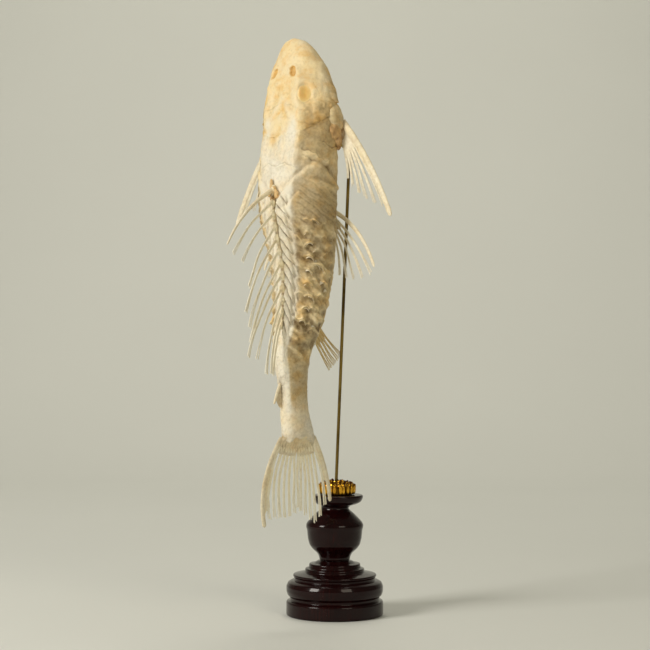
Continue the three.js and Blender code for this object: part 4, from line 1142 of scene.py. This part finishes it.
# ------------------------------------------------------------------------ the dorsal fin
# A stout first spine and eleven soft rays on a row of knobby ray bases. Each soft ray is a bundle
# of jointed strands that parts twice towards its tip; the web between them has dried away.
DORSAL_FIN_AT = 124
DORSAL_PITCH = 9.7
DORSAL_LENGTHS = np.array([66, 60, 51, 57, 68, 70, 73, 75, 64, 62, 51, 42.0])
DORSAL_RISES = np.radians([47, 45, 41, 30, 30, 28, 28, 30, 27, 17, 14, 12])
DORSAL_SPINE_BOW = 11
DORSAL_PLANE_AT = 150  # the fin stands square to the back there


def bowed(roots, tips, bows, s):
    """Paths from root to tip that stand off the straight line by 4 s (1 - s) times the bow."""
    s = np.asarray(s)[None, :, None]
    return roots[:, None] * (1 - s) + tips[:, None] * s + bows[:, None] * 4 * s * (1 - s)


def ray_bundle(roots, tips, bows, flat, half, seed,
               spread=0.012, fork=0.5, thin=1.2, stain=0.0):
    """Soft rays: each is four strands side by side, which part into two pairs at the fork and
    again near the tip. A strand stands off the ray's middle by its place times the half width,
    plus the spread times the ray's length, eased in from where they part."""
    chance = np.random.default_rng(seed)
    s = np.linspace(0, 1, 26)
    path = bowed(roots, tips, bows, s)
    s = s[None, :]
    length = np.linalg.norm(tips - roots, axis=-1)[:, None]
    across = unit(np.cross(flat, tips - roots))
    own_fork = fork * (1 + chance.normal(0, 0.12, length.shape))
    bend = 0.006 * length * chance.normal(0, 1, length.shape) * np.sin(3 * np.pi * s)
    shells = []
    for outer in (-1, 1):
        for inner in (-1, 1):
            part = outer * spread * length * step(s, own_fork, own_fork + 0.7)
            part = part * (1 + chance.normal(0, 0.25, length.shape))
            part = part + inner * 0.45 * spread * length * step(s, 0.74, 1.1)
            part = part + half * (0.46 * outer + 0.24 * inner) * (1 - 0.3 * s) + bend
            reach = 1 - np.abs(chance.normal(0, 0.02, length.shape))
            spot = path + across[:, None] * part[..., None]
            spot = spot[:, :1] + (spot - spot[:, :1]) * reach[..., None]
            shells.append(tubes(
                spot, half * 0.3 * (1 - 0.35 * s), flat, thin=thin, around=8,
                warm=0.5 - 0.35 * s, stain=stain + 0.2 * (1 - step(s, 0, 0.1)), reach=s * length))
    return shells


def webs(roots, tips, bows, flat, reach, seed, warm=0.9, stain=0.22):
    """Dried membrane between each ray and the next, out to a ragged edge at the share reached:
    a thin sheet between the two paths that sags a little to one side."""
    chance = np.random.default_rng(seed)
    s = np.linspace(0, 1, 14)
    path = bowed(roots, tips, bows, s * reach)
    v = np.linspace(0, 1, 6)[None, None, :, None]
    sheet = path[:-1, :, None] * (1 - v) + path[1:, :, None] * v
    ragged = chance.uniform(0.8, 1.0, (len(roots) - 1, 1, 6, 1))
    sheet = sheet[:, :1] + (sheet - sheet[:, :1]) * ragged
    flat = np.broadcast_to(flat, roots.shape)[:1, None, None]
    sheet = sheet + 0.35 * flat * (np.sin(np.pi * v) * grain(sheet, 4, seed)[..., None])
    rings = np.concatenate((sheet + 0.14 * flat, (sheet - 0.14 * flat)[:, :, ::-1]), axis=2)
    return closed(rings, "strip", warm=warm, stain=stain, reach=0.0)


def spine_shell(root, tip, bow, flat, wide, point, thin, seed, rough=0.06, count=60):
    """A stout spine: an oval tube that tapers from wide to point, prickled by a fine field and
    frayed at its tip."""
    s = np.linspace(0, 1, count)
    path = bowed(root[None], tip[None], bow[None], s)
    s = s[None, :]
    half = (wide + (point - wide) * s ** 0.9) * (1 + rough * grain(path, 1.4, seed))
    frayed = 1 + 0.2 * grain(path, 0.9, seed) * step(s, 0.88, 0.95)
    half = half * (1 - 0.6 * step(s, 0.975, 1.0)) * frayed
    stain = 0.25 * (1 - step(s, 0, 0.1)) + 0.2 + 0.1 * grain(path, 5, seed)
    return tubes(path, half, flat, thin=thin, around=14, warm=0.75 - 0.3 * s, stain=stain,
                 reach=s * np.linalg.norm(tip - root))


def dorsal_ridge():
    """The row of ray bases: a rod along the back, beaded once a ray by a cosine and its octave."""
    at = np.linspace(DORSAL_FIN_AT - 4, DORSAL_FIN_AT + DORSAL_PITCH * 11.4, 230)
    beads = 2 * np.pi * (at - DORSAL_FIN_AT) / DORSAL_PITCH
    beat = np.cos(beads)
    half = 1.9 + 0.6 * beat + 0.2 * np.cos(2 * beads)
    half = half * (1 - 0.5 * step(at, 205, 236))
    path = beside(at, 0, section(at)[1] + 0.7 + 0.45 * beat)[None]
    joint = step(-beat, 0.55, 0.95)
    return tubes(path, half, heading(at, 0, 1, 0), thin=0.85, around=14,
                 warm=0.8, stain=0.1 + 0.5 * joint, reach=at)


fin_bone = dry_bone("fin_ray_bone", "#FDF8E6", "#F6E8C0", "#8A6534", rough=0.5, depth=0.0003,
                    lines=1.3, glow=0.0)
ray_at = DORSAL_FIN_AT + DORSAL_PITCH * np.arange(len(DORSAL_LENGTHS))
dorsal_roots = beside(ray_at, 0, section(ray_at)[1] + 1.4)
dorsal_ways = heading(ray_at, 0, np.sin(DORSAL_RISES), np.cos(DORSAL_RISES))
dorsal_tips = dorsal_roots + dorsal_ways * DORSAL_LENGTHS[:, None]
dorsal_bows = heading(ray_at, 0, np.cos(DORSAL_RISES), -np.sin(DORSAL_RISES))
dorsal_flat = heading(DORSAL_PLANE_AT, 1, 0, 0)
dorsal_shells = [dorsal_ridge(), spine_shell(
    dorsal_roots[0], dorsal_tips[0], dorsal_bows[0] * DORSAL_SPINE_BOW / 2, dorsal_flat,
    2.0, 0.9, 0.8, 41)]
dorsal_shells += ray_bundle(
    dorsal_roots[1:], dorsal_tips[1:], dorsal_bows[1:] * 0.06 * DORSAL_LENGTHS[1:, None],
    dorsal_flat, 1.22, 42)
make_piece("dorsal_rays", dorsal_shells, fin_bone, ["dorsal_fin"])

# ------------------------------------------------------------------------ the paired fins
# The pectoral and pelvic fins: a flattened, prickly outer spine and a fan of soft rays on a knob
# of bone and dried muscle.
PECTORAL = dict(at=70, out=37.4, up=-10, spine=93, spine_rise=34.6, wide=3.4, bow=8, rays=6,
                first=80, shorter=9, first_rise=34.5, closer=5.4, ray_half=1.5, muscle=0.75)
PELVIC = dict(at=137, out=12, up=-21.8, spine=71, spine_rise=47, wide=2.1, bow=16, rays=5,
              first=71, shorter=6, first_rise=43, closer=7.5, ray_half=1.25, muscle=0.35)


def knob(middle, ways, axes, seed, stain):
    """A lumpy oval of bone and muscle: a ball of latitude and longitude, pushed in and out by the
    random field, then stretched by its half axes along the three ways."""
    u = np.linspace(0.06, np.pi - 0.06, 22)[:, None]
    v = np.linspace(0, 2 * np.pi, 28, endpoint=False)[None]
    ball = np.stack(np.broadcast_arrays(
        np.cos(u), np.sin(u) * np.cos(v), np.sin(u) * np.sin(v)), axis=-1)
    lumps = 0.25 * grain(ball * 6, 2.6, seed) + 0.1 * grain(ball * 6, 1.2, seed)
    ball = ball * (1 + lumps)[..., None]
    points = middle + ball @ (np.array(axes)[:, None] * np.stack(ways))
    stain = np.clip(stain + 0.25 * grain(points, 2.5, seed), 0, 1)
    return closed(points, warm=0.8, stain=stain, reach=0.0)


def ways_at(at):
    """The directions towards the tail, to the right and towards the back."""
    return heading(at, 0, 0, 1), heading(at, 1, 0, 0), heading(at, 0, 1, 0)


def paired_fin(side, seed, at, out, up, spine, spine_rise, wide, bow, rays, first, shorter,
               first_rise, closer, ray_half, muscle):
    """The spine bows outwards; soft ray k is shorter and lies closer to the body than the last."""
    flat = heading(at, 0, 1, 0)
    root = beside(at, side * out, up)
    rise = np.radians(spine_rise)
    way = heading(at, side * np.sin(rise), 0, np.cos(rise))
    outward = heading(at, side * np.cos(rise), 0, -np.sin(rise))
    shells = [spine_shell(root, root + spine * way, outward * bow / 2, flat, wide, wide * 0.66,
                          0.5, seed, rough=0.09)]
    k = np.arange(rays)
    rise = np.radians(first_rise - closer * k)
    ways = heading(at, side * np.sin(rise), -0.02 * k, np.cos(rise))
    roots = beside(at + 2.4 + 1.6 * k, side * (out - 0.4 * k), up - 0.5)
    length = (first - shorter * k)[:, None]
    tips = roots + ways * length
    bows = heading(at, side * np.cos(rise), 0, -np.sin(rise)) * bow * 0.25
    # The extra 0.12 of darkening is painted shade: these fins come out darker than the dorsal rays
    # of the same bone.
    shells += ray_bundle(roots, tips, bows, flat, ray_half, seed + 1,
                         spread=0.01, fork=0.6, stain=0.12)
    shells.append(webs(roots, tips, bows, flat, 0.32, seed + 3))
    shells.append(knob(beside(at + 1.1 * rays, side * (out - 0.5), up - 0.4), ways_at(at),
                       (3.2 + 0.7 * rays, 3.2, 2.5), seed + 2, muscle))
    return shells


for hand, side in (("left", -1), ("right", 1)):
    for fin, sizes, seed in (("pectoral", PECTORAL, 50), ("pelvic", PELVIC, 60)):
        make_piece(f"{fin}_rays_{hand}", paired_fin(side, seed + side, **sizes), fin_bone,
                   [f"{fin}_fin_{hand}"])

# ------------------------------------------------------------------------ dried muscle
# What the cleaning left on: crumbs of skin and muscle at the root of the first dorsal spine and
# behind each shoulder, dried hard and brown.
TISSUE_LUMPS = [  # place along, angle, lift, half sizes along, across and out, darkness
    (119.5, -0.08, 0.8, (4.0, 1.4, 1.2), -0.2), (126, -0.16, 0.8, (3.0, 2.0, 1.4), 0.15),
    (127, 0.1, 1.0, (3.4, 2.0, 1.4), -0.2), (131, 0.0, 1.0, (2.2, 2.6, 1.5), 0.55),
    (123, 0.02, 1.2, (2.2, 2.4, 1.3), -0.2), (130, 0.17, 0.6, (1.7, 1.6, 1.0), 0.3),
]
SHOULDER_LUMPS = [
    (76.5, 1.64, 0.2, (7.2, 5.6, 2.5), 0.3), (83, 1.84, 0.5, (6.4, 4.0, 2.8), 0.5),
    (88, 1.98, 0.2, (3.6, 2.8, 2.2), 0.65),
]


def lump(side, at, angle, lift, axes, stain, seed):
    """A knob of tissue that sits on the armour."""
    c, s = np.cos(angle), side * np.sin(angle)
    ways = heading(at, 0, 0, 1), heading(at, c, -s, 0), heading(at, s, c, 0)
    return knob(on_skin(at, side * angle, lift), ways, axes, seed, stain)


dried_muscle = dry_bone("dried_muscle", "#E8D8AE", "#D3AC72", "#7C4F22", rough=0.5, depth=0.0008)
make_piece("spine_root_tissue", [lump(1, *sizes, 100 + i) for i, sizes in enumerate(TISSUE_LUMPS)],
           dried_muscle)
for hand, side in (("left", -1), ("right", 1)):
    make_piece(f"shoulder_muscle_{hand}",
               [lump(side, *sizes, 110 + i) for i, sizes in enumerate(SHOULDER_LUMPS)],
               dried_muscle)

# ------------------------------------------------------------------------ anal and adipose fins
# The anal fin is a small fan of tan rays; the adipose fin is a short spine with a low web of
# dried skin behind it.
ANAL_AT, ANAL_PITCH, ANAL_RAYS = 224, 2.4, 5
ANAL_FIRST, ANAL_SHORTER = 50.5, 1.9  # the first ray's length, and how much each next one loses
ANAL_RISE, ANAL_CLOSER = 49.5, 3  # the same for its angle to the body, in degrees
ANAL_LEAN = -0.03
ANAL_BOW = 1.5
ADIPOSE_LONG, ADIPOSE_HIGH = 16, 6.8


def anal_shells():
    """Rays that lean tailwards and lie ever closer to the body."""
    k = np.arange(ANAL_RAYS)
    at = ANAL_AT + ANAL_PITCH * k
    rise = np.radians(ANAL_RISE - ANAL_CLOSER * k)
    ways = heading(at, ANAL_LEAN, -np.sin(rise), np.cos(rise))
    roots = beside(at, 0, -section(at)[2] - 0.4)
    tips = roots + ways * (ANAL_FIRST - ANAL_SHORTER * k)[:, None]
    bows = heading(at, 0, np.cos(rise), np.sin(rise)) * ANAL_BOW
    flat = heading(ANAL_AT + 16, 1, 0, 0)
    shells = ray_bundle(roots, tips, bows, flat, 1.2, 71, spread=0.02)
    shells.append(webs(roots, tips, bows, flat, 0.5, 73, warm=0.8, stain=0.25))
    middle = at.mean()
    shells.append(knob(beside(middle, 0, -section(middle)[2] - 0.6), ways_at(middle),
                       (8, 2.1, 1.9), 72, 0.6))
    return shells


def adipose_shells():
    """The spine bends back from the skin, and the web is a thin arch behind it."""
    tip_at = ADIPOSE_AT + ADIPOSE_LONG
    root = beside(ADIPOSE_AT, 0, section(ADIPOSE_AT)[1] - 0.5)
    tip = beside(tip_at, 0, section(tip_at)[1] + ADIPOSE_HIGH)
    _, flat, up = ways_at(ADIPOSE_AT)
    spine = spine_shell(root, tip, 0.6 * up, flat, 1.6, 0.9, 0.8, 73, count=30)
    s = np.linspace(0, 1, 30)[:, None]
    v = np.linspace(0, 2 * np.pi, 20, endpoint=False)[None]
    at = ADIPOSE_AT + 2 + (ADIPOSE_LONG + 1) * s
    back = section(at)[1]
    top = back + 0.4 + 4.4 * np.sin(np.pi * np.clip(s * 0.9, 0, 1))
    low = back - 1
    web = beside(at, 0.5 * np.sin(v), (top + low) / 2 + (top - low) / 2 * np.cos(v))
    return [spine, closed(web, warm=0.6, stain=0.5, reach=0.0)]


tan_ray_bone = dry_bone("tan_ray_bone", "#DCC795", "#CBAA6A", "#7E5A2C", rough=0.5, lines=1.3)
make_piece("anal_rays", anal_shells(), tan_ray_bone, ["anal_fin"])
make_piece("adipose_spine_and_web", adipose_shells(), fin_bone, ["adipose_fin"])

# ------------------------------------------------------------------------ the tail fin
# The stalk ends in a flat scaly fan of bone that carries the tail's rays. The outermost ray of
# each lobe is broad and stiff; the rest are jointed bundles that part towards their tips.
TAIL_REACHES = np.array([71, 66, 65, 65, 65, 64, 62, 58, 61, 64, 68, 71, 66, 57, 54.0])
TAIL_ROOT_SPREAD = 15.66
TAIL_TIP_SPREAD = 32
TAIL_BOWS = (8, 3)  # of the upper and the lower lobe
TAIL_PLATE_END_AT = 334
FAN_HIGH, FAN_LOW = 21, 18
FAN_RIBS, FAN_SPREAD, FAN_WIDENS = 7, 15.7, 0.25  # ribs a lobe, over that height at the roots


def at_tail(at, side, up):
    """A place in the tail fin's own plane, which keeps the stalk's last turn."""
    point = beside(TAIL_FIN_AT, side, up)
    point[..., 2] = SNOUT_Z - at
    return point


def tail_fan():
    """The flat fan: its height grows evenly along it to the roots of the outer rays, and beyond
    the stalk's end its thickness falls as a power of the share left. Each ray's root stands out
    as a rib, a cosine of the place across the fan, and the fan reaches further on the ribs.
    Painted shade lies just behind the scales' edges and between the ribs, and painted light on
    the ribs."""
    share = np.linspace(0, 1, 64)[:, None]
    angle = np.linspace(-np.pi, np.pi, 300, endpoint=False)[None]
    width, back, belly = section(TAIL_FIN_AT)[:3]
    at = TAIL_FIN_AT - 1.5 + (TAIL_PLATE_END_AT + 1.5 - TAIL_FIN_AT) * share
    thick = 0.42 + (width - 1.9) * (1 - np.clip((at - STALK_END_AT + 2) / 11, 0, 1)) ** 1.5
    c, s = np.cos(angle), np.sin(angle)
    up = c * np.where(c >= 0, back - 0.6 + (FAN_HIGH - back) * share,
                      belly - 0.6 + (FAN_LOW - belly) * share)
    lap, _ = scale_pattern(at + 0.02 * up ** 2, up / 3.4 * SCALE_ARC)
    half_spread = FAN_SPREAD + FAN_WIDENS * (at - TAIL_FIN_AT - 5)
    rib = np.cos(2 * np.pi * FAN_RIBS * up / half_spread)
    ribbed = step(share, 0.3, 0.9)
    side = thick * np.abs(s) ** (1.05 - 0.25 * share) * (1 + 0.05 * lap)
    side = np.sign(s) * (side + 0.3 * ribbed * rib * step(np.abs(s), 0, 0.3))
    end = at - 3.5 * (up / 20) ** 2 * share + 2.4 * rib * share ** 3
    points = at_tail(end, side, up)
    edge = step(np.abs(up), 10, 15)
    # Painted shade just behind the scales' edges; painted light on the ribs and shade between them.
    stain = 0.1 * (1 - step(lap, 0.02, 0.25)) + 0.45 * edge * (1 - 0.7 * share) + 0.08
    stain = stain + 0.08 * grain(points, 4, 84) - 0.18 * ribbed * rib
    return closed(points, warm=0.7 - 0.3 * share, stain=np.clip(stain, 0, 1))


def tail_shells():
    """Ray k's root and tip lie at the share q of the spread, from 1 in the upper lobe to -1."""
    q = np.linspace(1, -1, len(TAIL_REACHES))
    roots = at_tail(TAIL_FIN_AT + 5 - 4 * q * q, 0, q * TAIL_ROOT_SPREAD)
    tip_share = q - 0.06 * np.sign(q) * (1 - np.abs(q))
    tips = at_tail(TAIL_FIN_AT + TAIL_REACHES, 0, tip_share * TAIL_TIP_SPREAD)
    bow = np.where(q > 0, TAIL_BOWS[0] * q, TAIL_BOWS[1] * q)
    bows = heading(TAIL_FIN_AT, 0, 1, 0) * bow[:, None]
    flat = heading(TAIL_FIN_AT, 1, 0, 0)
    shells = ray_bundle(roots[1:-1], tips[1:-1], bows[1:-1], flat, 1.35, 81,
                        spread=0.008, fork=0.4, thin=1.1)
    shells.append(webs(roots, tips, bows, flat, 0.13, 85, warm=0.5, stain=0.1))
    shells.append(webs(roots[:2], tips[:2], bows[:2], flat, 0.93, 86, warm=0.8, stain=0.12))
    shells.append(webs(roots[-2:], tips[-2:], bows[-2:], flat, 0.75, 87, warm=0.8, stain=0.12))
    for i, wide in ((0, 2.1), (-1, 1.9)):
        shells.append(spine_shell(roots[i], tips[i], bows[i], flat, wide, wide * 0.95, 0.4, 83))
    return shells


make_piece("tail_fan", [tail_fan()], plate_bone)
make_piece("tail_rays", tail_shells(), fin_bone, ["tail_fin"])

# ------------------------------------------------------------------------ floor, light, camera
# A plain pale sweep of paper, a soft key light from the left, a weaker warm one from the front on
# the right, one from above for the wall behind, and an even warm grey all round.
FLOOR_FRONT, FLOOR_BACK, SWEEP_RADIUS, WALL_TOP, PAPER_HALF_WIDE = -3.0, 1.2, 0.9, 4.0, 4.0
CAMERA_AT = (-0.008, -1.485, 0.2388)
SENSOR = 36
FOCUS_PIXELS, FRAME_PIXELS = 1800, 650


def paper_sweep():
    """Floor that runs back and curves up into a wall: a quarter circle between two flats."""
    turn = np.linspace(0, np.pi / 2, 20)
    back = FLOOR_BACK + SWEEP_RADIUS * np.sin(turn)
    y = np.concatenate(([FLOOR_FRONT], back, back[-1:]))[:, None]
    z = np.concatenate(([0.0], SWEEP_RADIUS * (1 - np.cos(turn)), [WALL_TOP]))[:, None]
    x = np.array([-PAPER_HALF_WIDE, PAPER_HALF_WIDE])
    points = np.stack(np.broadcast_arrays(x, y, z), axis=-1).reshape(-1, 3)
    i = np.arange(len(y) - 1) * 2
    faces = np.stack((i, i + 1, i + 3, i + 2), axis=-1)
    mesh = bpy.data.meshes.new("paper_sweep")
    mesh.from_pydata(points.tolist(), [], faces.tolist())
    mesh.shade_smooth()
    paper, tree, place = blank_material("matt_paper")
    tooth = add(tree, "ShaderNodeTexNoise", {"Vector": place, "Scale": scale_for(300), "Detail": 2})
    colour = add(tree, "ShaderNodeMixRGB", {
        "Fac": tooth, "Color1": linear("#D6D8D3"), "Color2": linear("#DADCD7")})
    shader = add(tree, "ShaderNodeBsdfPrincipled", {"Base Color": colour, "Roughness": 0.9})
    add(tree, "ShaderNodeOutputMaterial", {"Surface": shader})
    mesh.materials.append(paper)
    put_in_scene("paper_sweep", mesh)


def soft_light(name, place, aim, size, power, colour):
    """A square area light at a place, turned to face what it lights."""
    lamp = bpy.data.lights.new(name, "AREA")
    lamp.size = size
    lamp.energy = power
    lamp.color = linear(colour)[:3]
    made = put_in_scene(name, lamp)
    made.location = place
    way = np.array(aim) - np.array(place)
    made.rotation_euler = (np.arccos(-way[2] / np.linalg.norm(way)), 0,
                           np.arctan2(way[1], way[0]) - np.pi / 2)


paper_sweep()
soft_light("key_light", (-1.35, -0.95, 0.95), (0, 0, 0.3), 0.65, 24, "#FFFAF1")
soft_light("front_light", (0.9, -1.5, 1.0), (0, 0, 0.2), 0.8, 8, "#FFF5DE")
soft_light("wall_light", (0, 0.9, 2.4), (0, 2.1, 0.7), 1.0, 22, "#FFF9EC")
world = bpy.data.worlds.new("even_grey")
world.use_nodes = True
world.node_tree.nodes["Background"].inputs["Color"].default_value = linear("#E2DECB")
world.node_tree.nodes["Background"].inputs["Strength"].default_value = 0.2
bpy.context.scene.world = world

camera = put_in_scene("camera", bpy.data.cameras.new("camera"))
camera.location = CAMERA_AT
camera.rotation_euler = (np.pi / 2, 0, 0)
camera.data.lens = SENSOR * FOCUS_PIXELS / FRAME_PIXELS
camera.data.sensor_width = SENSOR
bpy.context.scene.camera = camera
bpy.context.scene.view_settings.view_transform = "Standard"
